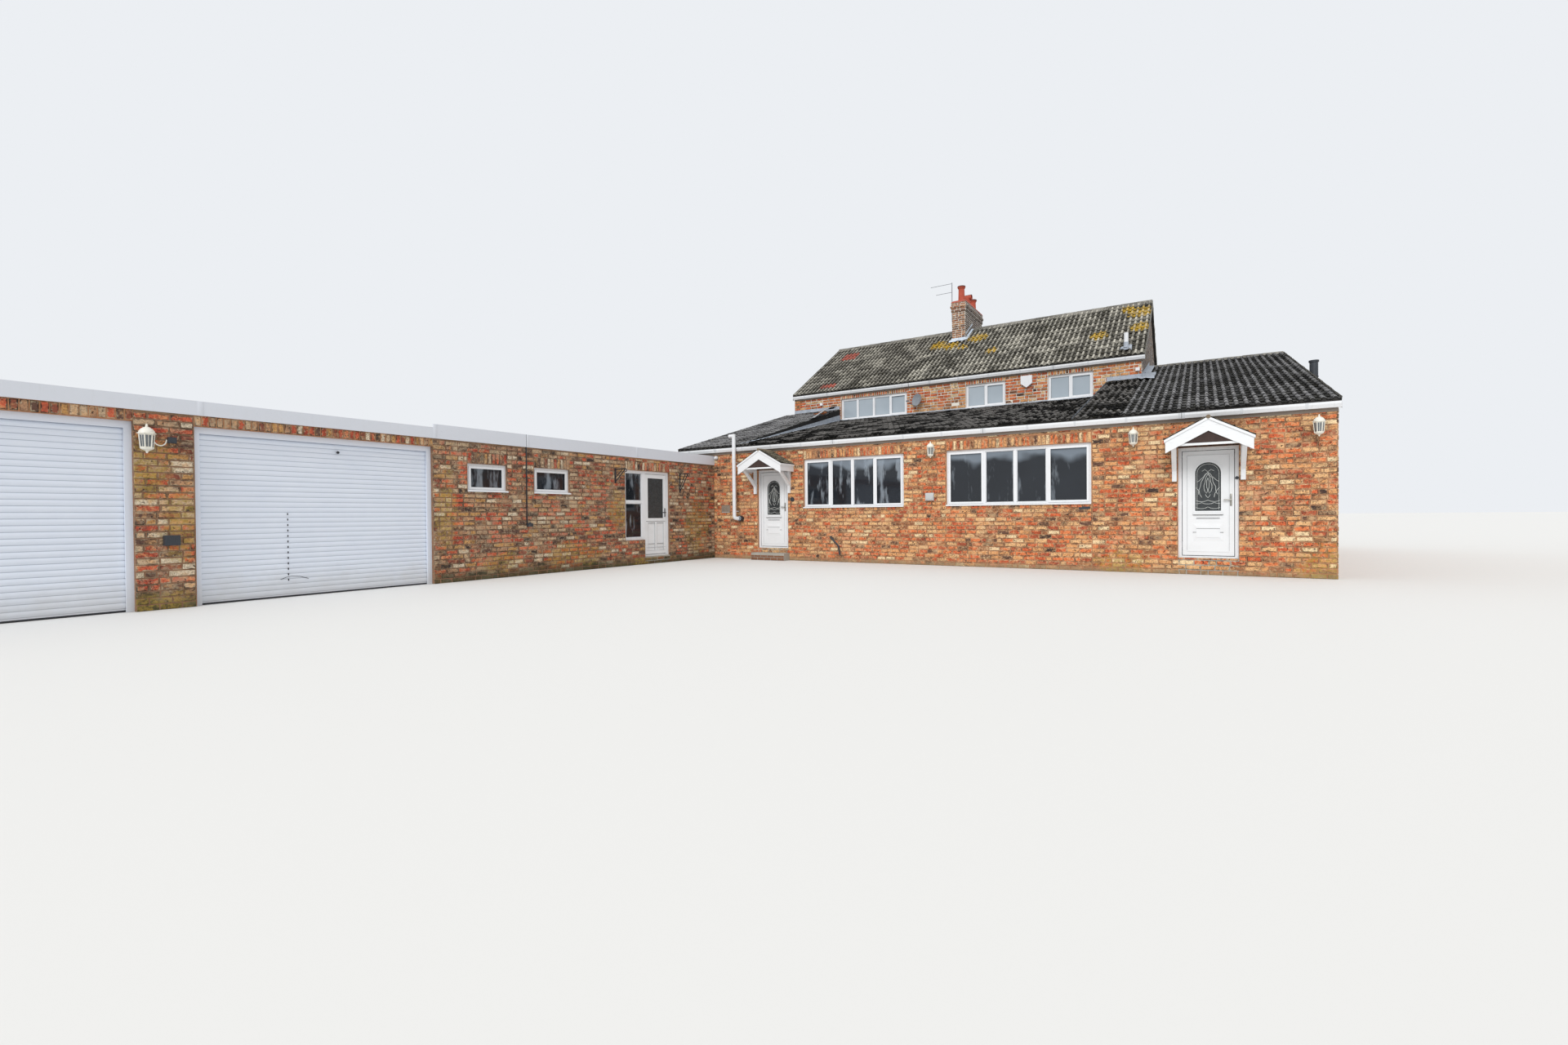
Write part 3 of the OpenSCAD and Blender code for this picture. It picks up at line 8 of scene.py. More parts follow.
import copy
import functools
import itertools
import json
import math
import random
from dataclasses import dataclass

import bmesh
import bpy
import numpy as np
from bpy.props import FloatProperty, FloatVectorProperty, PointerProperty
from bpy.types import Operator, Panel, PropertyGroup
from mathutils import Matrix, Vector, noise


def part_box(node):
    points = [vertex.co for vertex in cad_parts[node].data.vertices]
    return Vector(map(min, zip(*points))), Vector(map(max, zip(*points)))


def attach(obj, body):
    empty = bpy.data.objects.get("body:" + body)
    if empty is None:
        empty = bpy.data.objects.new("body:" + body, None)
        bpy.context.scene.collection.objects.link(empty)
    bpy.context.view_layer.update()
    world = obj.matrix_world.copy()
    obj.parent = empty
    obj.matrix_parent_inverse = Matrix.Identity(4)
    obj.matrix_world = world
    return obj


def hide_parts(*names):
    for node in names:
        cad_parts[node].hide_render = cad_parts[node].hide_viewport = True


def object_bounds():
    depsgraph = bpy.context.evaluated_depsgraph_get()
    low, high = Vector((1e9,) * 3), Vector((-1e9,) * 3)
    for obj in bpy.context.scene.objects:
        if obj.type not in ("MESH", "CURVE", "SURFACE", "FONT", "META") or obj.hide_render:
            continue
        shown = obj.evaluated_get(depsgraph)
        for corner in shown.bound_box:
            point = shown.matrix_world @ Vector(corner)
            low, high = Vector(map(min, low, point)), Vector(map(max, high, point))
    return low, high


bl_info = {
    "name": "Brick farmhouse",
    "version": (1, 0, 0),
    "blender": (4, 5, 0),
    "location": "View3D > Sidebar > Farmhouse",
    "description": "Lays the bricks and tiles of a farmhouse and finishes its joinery and fittings",
    "category": "Object",
}

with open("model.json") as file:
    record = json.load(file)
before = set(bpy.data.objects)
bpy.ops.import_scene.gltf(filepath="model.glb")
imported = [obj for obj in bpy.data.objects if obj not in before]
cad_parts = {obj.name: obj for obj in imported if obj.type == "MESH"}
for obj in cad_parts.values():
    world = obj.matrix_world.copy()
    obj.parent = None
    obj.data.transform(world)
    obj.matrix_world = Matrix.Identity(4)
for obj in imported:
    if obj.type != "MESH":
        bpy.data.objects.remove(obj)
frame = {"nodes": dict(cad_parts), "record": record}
cad_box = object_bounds()

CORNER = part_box("garage_roof")[1]
UP = Vector((0, 0, 1))
EAST, NORTH, WEST, SOUTH = Vector((1, 0, 0)), Vector((0, 1, 0)), Vector((-1, 0, 0)), Vector((0, -1, 0))


def yard(x, y, z=0.0):
    """A place given from the inner corner of the yard, in the model's frame."""
    return Vector((CORNER.x + x, CORNER.y + y, z))


def paint(red, green, blue):
    """A colour as the eye reads it, 0 to 255, in Blender's linear numbers."""
    return tuple(((c / 255 + 0.055) / 1.055) ** 2.4 if c > 10 else c / 3295 for c in (red, green, blue))


# Settings

HOUSE_COURSE, GARAGE_COURSE, STACK_COURSE = 0.0915, 0.0858, 0.075


def length(name, description, default):
    return FloatProperty(name=name, description=description, default=default, min=0, subtype="DISTANCE",
                         unit="LENGTH")


def angle(name, description, degrees):
    return FloatProperty(name=name, description=description, default=math.radians(degrees),
                         subtype="ANGLE", unit="ROTATION")


def colour(name, description, *shade):
    return FloatVectorProperty(name=name, description=description, default=paint(*shade), subtype="COLOR",
                               size=3, min=0, max=1)


class BrickSettings(PropertyGroup):
    """Sizes of the brickwork"""

    course: length("Course", "Height of one course of the house, with its joint", HOUSE_COURSE)
    garage_course: length("Garage course", "Height of one course of the garage wing", GARAGE_COURSE)
    stack_course: length("Stack course", "Height of one course of the chimney", STACK_COURSE)
    stretcher: length("Stretcher", "Length of a brick with its joint", 0.232)
    header: length("Header", "Width of a brick with its joint", 0.115)
    joint: length("Joint", "Width of a mortar joint", 0.013)
    soldier: length("Soldier", "Width of an upright brick over an opening, with its joint", 0.079)
    soldier_h: length("Soldier height", "Height of the upright bricks over an opening", 0.215)
    proud: length("Proud", "How far the brick faces stand out of the mortar", 0.006)
    worn: length("Worn edge", "Width of the worn edge round a brick", 0.006)
    rough: length("Roughness", "How far an old brick's corners stray", 0.0035)


class TileSettings(PropertyGroup):
    """Sizes of the roof tiles"""

    cover: length("Cover", "Width that one tile covers", 0.3)
    gauge: length("Gauge", "Length that shows of one tile", 0.343)
    roll: length("Roll", "Height of the rolls of a tile", 0.048)
    tail: length("Tail", "Thickness that shows at the lower end of a tile", 0.021)
    ridge_len: length("Ridge tile", "Length of a ridge tile", 0.45)


class StageSettings(PropertyGroup):
    """Camera, lights and floor"""

    lens: FloatProperty(name="Lens", description="Focal length of the camera on a 36 mm wide sensor",
                        default=15.04, min=5, max=200, subtype="DISTANCE_CAMERA", unit="CAMERA")
    eye: FloatVectorProperty(name="Eye", description="Place of the camera from the yard corner",
                             default=(11.489, -14.485, 1.169), size=3, subtype="XYZ", unit="LENGTH")
    turn: angle("Turn", "How far the camera looks left of straight back", 32.37)
    tilt: angle("Tilt", "How far the camera looks down", 0.62)
    roll: angle("Roll", "How far the camera leans", 0.47)
    floor: colour("Floor", "Colour of the floor", 226, 226, 224)
    sky: colour("Sky", "Colour behind the house", 236, 239, 243)
    sky_light: FloatProperty(name="Sky light", description="Strength of the soft light from all sides",
                             default=0.86)
    sun: FloatProperty(name="Sun", description="Strength of the lamp", default=1.55)
    sun_width: angle("Sun width", "How wide the lamp looks, for soft shadows", 24)
    sun_from: FloatVectorProperty(name="Sun from", description="Direction in which the lamp stands",
                                  default=(0.13, -0.8, 0.62), size=3, subtype="DIRECTION")


# Shader nodes

BUMP_STRENGTH = 0.7


def maths(operation, swapped=False):
    """A method of Value that adds one maths node."""

    def method(self, other=None):
        first, second = (other, self) if swapped else (self, other)
        sockets = {0: first} if second is None else {0: first, 1: second}
        return self.net.add("ShaderNodeMath", sockets, operation=operation)

    return method


class Value:
    """A shader socket that takes part in Python sums."""

    def __init__(self, net, socket):
        self.net = net
        self.socket = socket

    __add__ = maths("ADD")
    __radd__ = maths("ADD", swapped=True)
    __sub__ = maths("SUBTRACT")
    __rsub__ = maths("SUBTRACT", swapped=True)
    __mul__ = maths("MULTIPLY")
    __rmul__ = maths("MULTIPLY", swapped=True)
    __truediv__ = maths("DIVIDE")
    __gt__ = maths("GREATER_THAN")
    __lt__ = maths("LESS_THAN")
    least = maths("MINIMUM")
    most = maths("MAXIMUM")
    part = maths("FRACT")
    size = maths("ABSOLUTE")


class Net:
    """A tree of shader nodes while it is being made."""

    def __init__(self, tree):
        self.nodes = tree.nodes
        self.links = tree.links

    def add(self, kind, sockets=None, output=0, stops=(), **settings):
        """Adds a node: its settings or a ramp's stops first, then the values or links of its sockets."""
        node = self.nodes.new(kind)
        for key, value in settings.items():
            setattr(node, key, value)
        if stops:
            self.fill_ramp(node.color_ramp, stops)
        for key, value in (sockets or {}).items():
            self.feed(self.find(node.inputs, key), value)
        return Value(self, self.find(node.outputs, output))

    def fill_ramp(self, ramp, stops):
        """Gives a ramp its stops, as (place, colour), with no blend between them."""
        while len(ramp.elements) < len(stops):
            ramp.elements.new(1)
        for element, (place, shade) in zip(ramp.elements, stops):
            element.position = place
            element.color = (*paint(*shade), 1)
        ramp.interpolation = "CONSTANT"

    def find(self, sockets, key):
        if isinstance(key, int):
            return sockets[key]
        return next(s for s in sockets if key in (s.identifier, s.name))

    def feed(self, socket, value):
        if isinstance(value, Value):
            self.links.new(value.socket, socket)
        elif socket.type == "RGBA":
            socket.default_value = (*value[:3], 1)
        else:
            socket.default_value = value


class Finish(Net):
    """A material while its nodes are being added. base is its colour so far."""

    def __init__(self, name, base=None):
        self.material = bpy.data.materials.new(name)
        self.material.use_nodes = True
        super().__init__(self.material.node_tree)
        self.base = base

    @functools.cached_property
    def place(self):
        return self.add("ShaderNodeTexCoord", None, "Object")

    def axis(self, letter, of=None):
        """One number of the place, or of another vector."""
        return self.add("ShaderNodeSeparateXYZ", {0: of or self.place}, letter)

    def normal(self, letter):
        return self.axis(letter, self.add("ShaderNodeNewGeometry", None, "Normal"))

    def attribute(self, name):
        return self.add("ShaderNodeAttribute", None, "Fac", attribute_name=name)

    def stretched(self, x, y, z):
        return self.add("ShaderNodeMapping", {"Vector": self.place, "Scale": (x, y, z)})

    def noise(self, scale, detail=3.0, rough=0.55, at=None):
        sockets = {"Vector": at or self.place, "Scale": scale, "Detail": detail, "Roughness": rough}
        return self.add("ShaderNodeTexNoise", sockets, "Fac")

    def waver(self, amount, *grain):
        """Noise on both sides of 0, amount from its lowest to its highest."""
        return (self.noise(*grain) - 0.5) * amount

    def band(self, value, low, high):
        """0 below low and 1 above high, or the other way round where high is the lower."""
        flip = high < low
        sockets = {"Value": value, "From Min": min(low, high), "From Max": max(low, high),
                   "To Min": float(flip), "To Max": float(not flip)}
        return self.add("ShaderNodeMapRange", sockets, interpolation_type="SMOOTHSTEP")

    def within(self, low, high):
        """1 inside a box of the model's frame, 0 outside."""
        sides = []
        for letter, a, b in zip("XYZ", low, high):
            along = self.axis(letter)
            sides.append((along > a) * (along < b))
        return functools.reduce(Value.__mul__, sides)

    def spots(self, places, ragged, outer, inner, *grain):
        """Round patches with ragged edges, from pairs of a middle and its reach along X, Y and Z."""
        found = []
        for middle, reach in places:
            away = [(self.axis(letter) - m) / r for letter, m, r in zip("XYZ", middle, reach)]
            far = functools.reduce(Value.__add__, [a * a for a in away])
            found.append(self.band(far + self.waver(ragged, *grain), outer, inner))
        return functools.reduce(Value.most, found)

    def pick(self, value, mix):
        """One colour of a mix by a value from 0 to 1."""
        starts = itertools.accumulate((share for share, _ in mix), initial=0.0)
        stops = [(start, shade) for start, (_, shade) in zip(starts, mix)]
        return self.add("ShaderNodeValToRGB", {0: value}, stops=stops)

    def mix(self, share, a, b):
        """Blends two colours, each a value or three numbers from 0 to 255."""
        a, b = (shade if isinstance(shade, Value) else paint(*shade) for shade in (a, b))
        sockets = {"Factor_Float": share, "A_Color": a, "B_Color": b}
        return self.add("ShaderNodeMix", sockets, "Result_Color", data_type="RGBA")

    def ground(self, dark, pale, *grain):
        """Starts the colour as a cloudy blend of two shades."""
        self.base = self.mix(self.noise(*grain), dark, pale)

    def coat(self, share, shade):
        """Lays a colour over what is there."""
        self.base = self.mix(share, self.base, shade)

    def flecks(self, shade, share, low, high, *grain):
        """Lays a colour in spots where the noise lies between low and high, up to a share."""
        self.coat(self.band(self.noise(*grain), low, high) * share, shade)

    def done(self, rough, height=None, distance=0.002, metal=0.0, shine=0.5):
        """Feeds the shader and returns the material."""
        sockets = {"Base Color": self.base, "Roughness": rough, "Metallic": metal,
                   "Specular IOR Level": shine}
        if height is not None:
            bump = {"Height": height, "Distance": distance, "Strength": BUMP_STRENGTH}
            sockets["Normal"] = self.add("ShaderNodeBump", bump)
        for key, value in sockets.items():
            self.feed(self.find(self.nodes["Principled BSDF"].inputs, key), value)
        return self.material


# The frame's own shapes

SAME_PLACE = 1e-5
SAME_EDGE = 1e-3


def solids(node):
    """The corner points of each separate solid of a CAD node, as arrays, in the model's frame."""
    bm = bmesh.new()
    bm.from_mesh(frame["nodes"][node].data)
    bmesh.ops.remove_doubles(bm, verts=bm.verts, dist=SAME_PLACE)
    left = set(bm.verts)
    found = []
    while left:
        edge = [left.pop()]
        group = list(edge)
        while edge:
            near = {e.other_vert(v) for v in edge for e in v.link_edges} & left
            left -= near
            group += near
            edge = list(near)
        found.append(np.array([v.co[:] for v in group]))
    bm.free()
    return sorted(found, key=lambda points: tuple(points.min(0).round(3)))


@functools.cache
def solid_boxes(node):
    """The lower and upper corner of each separate solid of a CAD node."""
    return [(points.min(0), points.max(0)) for points in solids(node)]


class Slope:
    """One plane of a roof: where it starts, where it ends, and its top edges."""

    def __init__(self, node, faces_back=False):
        points = np.concatenate(solids(node))
        self.x0, self.x1 = points[:, 0].min(), points[:, 0].max()
        points = points[points[:, 0] > self.x1 - SAME_EDGE]
        ends = (points[:, 1].min(), points[:, 1].max())
        self.low_y, self.high_y = reversed(ends) if faces_back else ends
        high_end = points[abs(points[:, 1] - self.high_y) < SAME_EDGE][:, 2]
        self.low_z = points[abs(points[:, 1] - self.low_y) < SAME_EDGE][:, 2].max()
        self.high_z = high_end.max()
        self.thick = self.high_z - high_end.min()

    def rise(self):
        """From the lower edge to the upper edge."""
        return Vector((0, self.high_y - self.low_y, self.high_z - self.low_z))

    def height(self, y):
        """Height of the roof's top at a place along Y in the model's frame."""
        return self.low_z + (y - self.low_y) / (self.high_y - self.low_y) * (self.high_z - self.low_z)

    def under(self, y):
        """Height of the roof's underside."""
        return self.height(y) - self.thick

    def cut(self, x0, x1, high_y):
        """The same plane between two places along X, up to a place along Y."""
        part = copy.copy(self)
        part.x0, part.x1 = x0, x1
        part.high_y, part.high_z = high_y, self.height(high_y)
        return part


MAIN_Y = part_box("main_front_wall")[0].y
MAIN_X, BACK_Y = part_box("main_back_wall")[1].xy
LEFT_X, RIGHT_X = (corner.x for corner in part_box("range_side_walls"))
WING_LOW, WING_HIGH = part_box("garage_outer_walls")
RIGHT_ROOF = Slope("roof_right")
ROOFS = {
    "main_front": Slope("main_roof_front"),
    "main_back": Slope("main_roof_back", True),
    "left": Slope("roof_left"),
    "middle": Slope("roof_middle"),
    "right_low": RIGHT_ROOF.cut(RIGHT_ROOF.x0, MAIN_X, MAIN_Y),
    "right": RIGHT_ROOF.cut(MAIN_X, RIGHT_ROOF.x1, RIGHT_ROOF.high_y),
    "right_back": Slope("roof_right_back", True),
}


# Making pieces

SMOOTH_UP_TO = math.radians(38)


def add_object(name, data):
    made = bpy.data.objects.new(name, data)
    bpy.context.scene.collection.objects.link(made)
    return made


def piece(name, mesh, material, body="root", replaces=()):
    """Puts a finished mesh into the scene as a piece that rides on a body."""
    made = add_object(name, mesh)
    mesh.materials.append(material)
    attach(made, body)
    if replaces:
        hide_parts(*replaces)
    return made


def copies_mesh(name, corners, faces, **attributes):
    """Joins copies of one shape: corners is copies x points x 3, faces are the shape's quads.

    An attribute is given for each copy, or for each point of each copy.
    """
    copies, count = corners.shape[:2]
    index = np.array(faces)[None] + count * np.arange(copies)[:, None, None]
    mesh = bpy.data.meshes.new(name)
    mesh.from_pydata(corners.reshape(-1, 3).tolist(), [], index.reshape(-1, index.shape[2]).tolist())
    for key, values in attributes.items():
        layer = mesh.attributes.new(key, "FLOAT", "POINT")
        spread = values if values.ndim == 2 else np.repeat(values[:, None], count, 1)
        layer.data.foreach_set("value", np.ascontiguousarray(spread, np.float32).ravel())
    return mesh


def only(kind, geometry):
    """The points or edges in what a bmesh operator returns."""
    return [g for g in geometry if isinstance(g, kind)]


def pattern(bm, outwards=None):
    """The points and faces of a small shape. Frees the bmesh. An open shape is turned outwards."""
    bmesh.ops.recalc_face_normals(bm, faces=bm.faces)
    bm.faces.ensure_lookup_table()
    if outwards is not None and bm.faces[0].normal.dot(outwards) < 0:
        bmesh.ops.reverse_faces(bm, faces=bm.faces)
    bm.verts.index_update()
    points = np.array([v.co[:] for v in bm.verts])
    faces = [[v.index for v in f.verts] for f in bm.faces]
    bm.free()
    return points, faces


def pull(bm, edges, shift, scale=(1, 1, 1)):
    """Extrudes edges, moves and scales the new ones, and returns them."""
    made = bmesh.ops.extrude_edge_only(bm, edges=edges)["geom"]
    verts = only(bmesh.types.BMVert, made)
    bmesh.ops.scale(bm, vec=scale, verts=verts)
    bmesh.ops.translate(bm, vec=shift, verts=verts)
    return only(bmesh.types.BMEdge, made)


class Kit:
    """A piece put together from small shapes. at turns its own places into the model's frame."""

    def __init__(self, at=None):
        self.bm = bmesh.new()
        self.at = at or Matrix()

    def box(self, low, high, bevel=0.0, turn=None):
        """A box between two corners, its edges rounded, turned about its middle."""
        low, high = Vector(low), Vector(high)
        size = Matrix.Diagonal((*(high - low), 1))
        place = Matrix.Translation((low + high) / 2) @ (turn or Matrix()) @ size
        verts = bmesh.ops.create_cube(self.bm, size=1, matrix=self.at @ place)["verts"]
        if bevel:
            edges = list({e for v in verts for e in v.link_edges})
            bmesh.ops.bevel(self.bm, geom=edges, offset=bevel, affect="EDGES", segments=2, profile=0.5,
                            material=-1)

    def prism(self, outline, shift):
        """A flat outline pushed along a direction."""
        face = self.bm.faces.new([self.bm.verts.new(self.at @ Vector(p)) for p in outline])
        made = bmesh.ops.extrude_face_region(self.bm, geom=[face])["geom"]
        bmesh.ops.translate(self.bm, vec=self.at.to_3x3() @ Vector(shift),
                            verts=only(bmesh.types.BMVert, made))

    def bar(self, path, radius, sides=8):
        """A round bar along a line of points."""
        path = [self.at @ Vector(p) for p in path]
        turns = [math.tau * k / sides for k in range(sides)]
        rings, side, last = [], None, len(path) - 1
        for i, point in enumerate(path):
            ahead = (path[min(i + 1, last)] - path[max(i - 1, 0)]).normalized()
            side = ahead.orthogonal() if side is None else side - ahead * side.dot(ahead)
            side.normalize()
            across = ahead.cross(side)
            rings.append([self.bm.verts.new(point + (side * math.cos(a) + across * math.sin(a)) * radius)
                          for a in turns])
        for a, b in zip(rings, rings[1:]):
            for k in range(sides):
                self.bm.faces.new((a[k], a[k - 1], b[k - 1], b[k]))
        for ring in (rings[0], rings[-1]):
            self.bm.faces.new(ring)

    def lathe(self, foot, profile, axis=UP, steps=24):
        """Turns a profile of (radius, height) round an axis through a point."""
        foot, axis = self.at @ Vector(foot), (self.at.to_3x3() @ Vector(axis)).normalized()
        side = axis.orthogonal().normalized()
        verts = [self.bm.verts.new(foot + side * r + axis * h) for r, h in profile]
        edges = [self.bm.edges.new(pair) for pair in zip(verts, verts[1:])]
        bmesh.ops.spin(self.bm, geom=verts + edges, cent=foot, axis=axis, angle=math.tau, steps=steps,
                       use_merge=True)

    def sheet(self, rows):
        """A sheet through rows of points."""
        grid = [[self.bm.verts.new(self.at @ Vector(p)) for p in row] for row in rows]
        for a, b in zip(grid, grid[1:]):
            for k in range(len(a) - 1):
                self.bm.faces.new((a[k], a[k + 1], b[k + 1], b[k]))

    def done(self, name, material, slot, body="root", replaces=(), thick=0.0):
        bmesh.ops.remove_doubles(self.bm, verts=self.bm.verts, dist=SAME_PLACE)
        bmesh.ops.recalc_face_normals(self.bm, faces=self.bm.faces)
        if thick:
            bmesh.ops.solidify(self.bm, geom=self.bm.faces[:], thickness=thick)
            bmesh.ops.recalc_face_normals(self.bm, faces=self.bm.faces)
        mesh = bpy.data.meshes.new(name)
        self.bm.to_mesh(mesh)
        self.bm.free()
        mesh.shade_smooth()
        mesh.set_sharp_from_angle(angle=SMOOTH_UP_TO)
        return piece(name, mesh, material, body, replaces)


def at_yard(x, y, z=0.0, turn=0.0):
    """The place and turn of something drawn from a point of the yard. turn is in degrees about Z."""
    return Matrix.Translation(yard(x, y, z)) @ Matrix.Rotation(math.radians(turn), 4, "Z")


YARD = at_yard(0, 0)


def arc(centre, radius, start, end, steps):
    """Points round part of an upright circle that faces along Y, from start to end in degrees."""
    found = []
    for k in range(steps + 1):
        a = math.radians(start + (end - start) * k / steps)
        found.append(Vector(centre) + Vector((radius * math.cos(a), 0, radius * math.sin(a))))
    return found


# Brickwork

# What is too small to be laid: a stretch of wall, its height, a brick, the rest of a stretch, a head
LEAST_STRETCH, LEAST_HEIGHT, LEAST_BRICK, LEAST_REST, LEAST_HEAD = 0.01, 0.02, 0.03, 0.05, 0.05
HEADER_SHARE, BOND_SPREAD, STRETCHER_SPREAD = 0.2, (0.8, 1.2), (0.94, 1.03)


@dataclass
class Wall:
    """One outer face of brick in a plane of the model's frame. u runs along it and v runs up it."""

    name: str
    out: Vector
    plane: float
    outline: list
    holes: list = ()
    heads: list = ()
    joints: list = ()

    def start(self):
        return Vector((self.plane, 0, 0)) if self.out.x else Vector((0, self.plane, 0))

    def along(self):
        return NORTH if self.out.x else EAST

    def spans(self, v):
        """Where a level line lies on the wall, as pairs of u."""
        cuts = []
        for (u0, v0), (u1, v1) in zip(self.outline, self.outline[1:] + self.outline[:1]):
            if (v0 <= v) != (v1 <= v):
                cuts.append(u0 + (v - v0) / (v1 - v0) * (u1 - u0))
        cuts.sort()
        return list(zip(cuts[::2], cuts[1::2]))

    def free(self, low, high):
        """The stretches of a course that are wall, as (u0, u1, v0, v1), cut round the holes."""
        found = []
        blocks = [*self.holes, *self.heads]
        for (a0, b0), (a1, b1) in itertools.product(self.spans(low + 0.001), self.spans(high)):
            a, b = max(a0, a1), min(b0, b1)
            if b - a < LEAST_STRETCH:
                continue
            cuts = [u for u0, u1, v0, v1 in blocks if v0 < high and v1 > low for u in (u0, u1)]
            stops = sorted({a, b, *(u for u in (*cuts, *self.joints) if a < u < b)})
            for p, q in zip(stops, stops[1:]):
                v0, v1 = low, high
                for h in blocks:
                    if h[0] < (p + q) / 2 < h[1] and h[2] < v1 and h[3] > v0:
                        v0, v1 = (v0, h[2]) if h[2] - v0 > v1 - h[3] else (h[3], v1)
                if v1 - v0 > LEAST_HEIGHT and q - p > LEAST_STRETCH:
                    found.append((p, q, v0, v1))
        return found


def course_bricks(wall, sizes, course, rng):
    """Every brick of a wall as (u0, u1, v0, v1)."""
    top = max(v for _, v in wall.outline)
    base = min(v for _, v in wall.outline)
    rects = []
    for i in range(math.ceil((top - base) / course)):
        low = base + i * course
        for p, q, v0, v1 in wall.free(low, min(low + course - sizes.joint, top - 0.001)):
            u = p
            if q - p > sizes.stretcher:
                u -= (sizes.header if i % 2 else 0) * rng.uniform(*BOND_SPREAD)
            while u < q - LEAST_BRICK:
                header = rng.random() < HEADER_SHARE
                step = sizes.header if header else sizes.stretcher * rng.uniform(*STRETCHER_SPREAD)
                end = u + step if q - u - step > LEAST_REST else q
                if end - p > LEAST_BRICK:
                    rects.append((max(u, p), min(end - sizes.joint, q), v0, v1))
                u = end
    for u0, u1, v0, v1 in wall.heads:
        count = max(1, round((u1 - u0) / sizes.soldier))
        step = (u1 - u0) / count
        for k in range(count):
            rects.append((u0 + k * step + sizes.joint / 2, u0 + (k + 1) * step - sizes.joint / 2,
                          v0 + sizes.joint / 2, v1 - sizes.joint / 2))
    return np.array(rects)


BRICK_EDGE, BRICK_BACK, LEAST_Z = 0.1, -0.012, 0.0005
# Shares of a brick's roughness for its corners and its face, dents, and the worn edge's depth
STRAY_SHARE, FACE_SHARE, DENT, WORN_DEPTH = 0.6, 0.5, 0.001, 0.8


def brick_pattern():
    """The face of a brick 2 wide and 2 high, with a worn edge and four sides."""
    bm = bmesh.new()
    bmesh.ops.create_grid(bm, x_segments=1, y_segments=1, size=1 - BRICK_EDGE)
    grown = 1 / (1 - BRICK_EDGE)
    rim = pull(bm, bm.edges[:], (0, 0, -BRICK_EDGE), (grown, grown, 1))
    pull(bm, rim, (0, 0, -1))
    return pattern(bm, UP)


def lay_bricks(wall, sizes, course, material, seed):
    """Lays every brick of a wall as one joined mesh."""
    rects = course_bricks(wall, sizes, course, random.Random(seed))
    dice = np.random.default_rng(seed)
    points, faces = brick_pattern()
    count, corners = len(rects), len(points)
    inset = (1 - np.abs(points[:, :2])) / BRICK_EDGE * sizes.worn
    side = np.sign(points[:, :2])
    middle = (rects[:, None, [0, 2]] + rects[:, None, [1, 3]]) / 2
    half = (rects[:, None, [1, 3]] - rects[:, None, [0, 2]]) / 2
    flat = middle + side * (half - inset) + dice.normal(0, sizes.rough, (count, corners, 2)) * STRAY_SHARE
    ring = np.select([points[:, 2] > -BRICK_EDGE / 2, points[:, 2] > -BRICK_EDGE * 2], [0, 1], 2)
    face = sizes.proud + dice.normal(0, sizes.rough * FACE_SHARE, (count, 1))
    face = face + dice.normal(0, DENT, (count, corners))
    depth = np.where(ring == 0, face, np.where(ring == 1, face - sizes.worn * WORN_DEPTH, BRICK_BACK))
    place = np.array(wall.start()) + flat[..., :1] * np.array(wall.along()) + flat[..., 1:] * np.array(UP)
    place = place + depth[..., None] * np.array(wall.out)
    place[..., 2] = np.maximum(place[..., 2], LEAST_Z)
    if wall.along().cross(UP).dot(wall.out) < 0:
        faces = [f[::-1] for f in faces]
    mesh = copies_mesh(wall.name, place, faces, tone=dice.random(count), along=(flat - middle)[..., 0],
                       up=(flat - middle)[..., 1], half_along=half[:, 0, 0], half_up=half[:, 0, 1])
    return piece(wall.name, mesh, material)


THIN_FRAME = 0.4
NEAR_PLANE = 0.2


def openings(out, plane):
    """The window, door and shutter openings in one outer face, as (u0, u1, v0, v1)."""
    across, along = (1, 0) if out.y else (0, 1)
    frames = [box for kind in ("window", "door", "shutter") for box in solid_boxes(f"{kind}_frames")]
    found = []
    for low, high in frames:
        thin = high[across] - low[across] < THIN_FRAME
        if thin and low[across] - NEAR_PLANE < plane < high[across] + NEAR_PLANE:
            found.append((low[along], high[along], low[2], high[2]))
    return found


def outer_face(name, out, plane, outline, sizes, top=None, joints=()):
    """A wall with its openings cut. top is given where upright bricks stand over the openings."""
    holes = openings(out, plane)
    heads = [(u0, u1, v1, min(v1 + sizes.soldier_h, top)) for u0, u1, _, v1 in holes
             if top and top - v1 > LEAST_HEAD]
    return Wall(name, out, plane, outline, holes, heads, joints)


def oblong(u0, u1, top, base=0.0):
    return [(u0, base), (u1, base), (u1, top), (u0, top)]


BEHIND_BOARD = 0.02


def eave_top(x, y, z):
    """Where brickwork ends, just behind the eave board nearest to a place given from the yard corner."""
    place = yard(x, y, z)
    board = min(solid_boxes("eave_boards"), key=lambda b: (Vector((b[0] + b[1]) / 2) - place).length)
    return board[0][2] + BEHIND_BOARD


def under(*places):
    """Points under the roofs, from pairs of a roof's name and a place along Y."""
    return [(y, ROOFS[name].under(y)) for name, y in places]


# The straight joint in the front wall, right of its last window
STRAIGHT_JOINT = 0.02


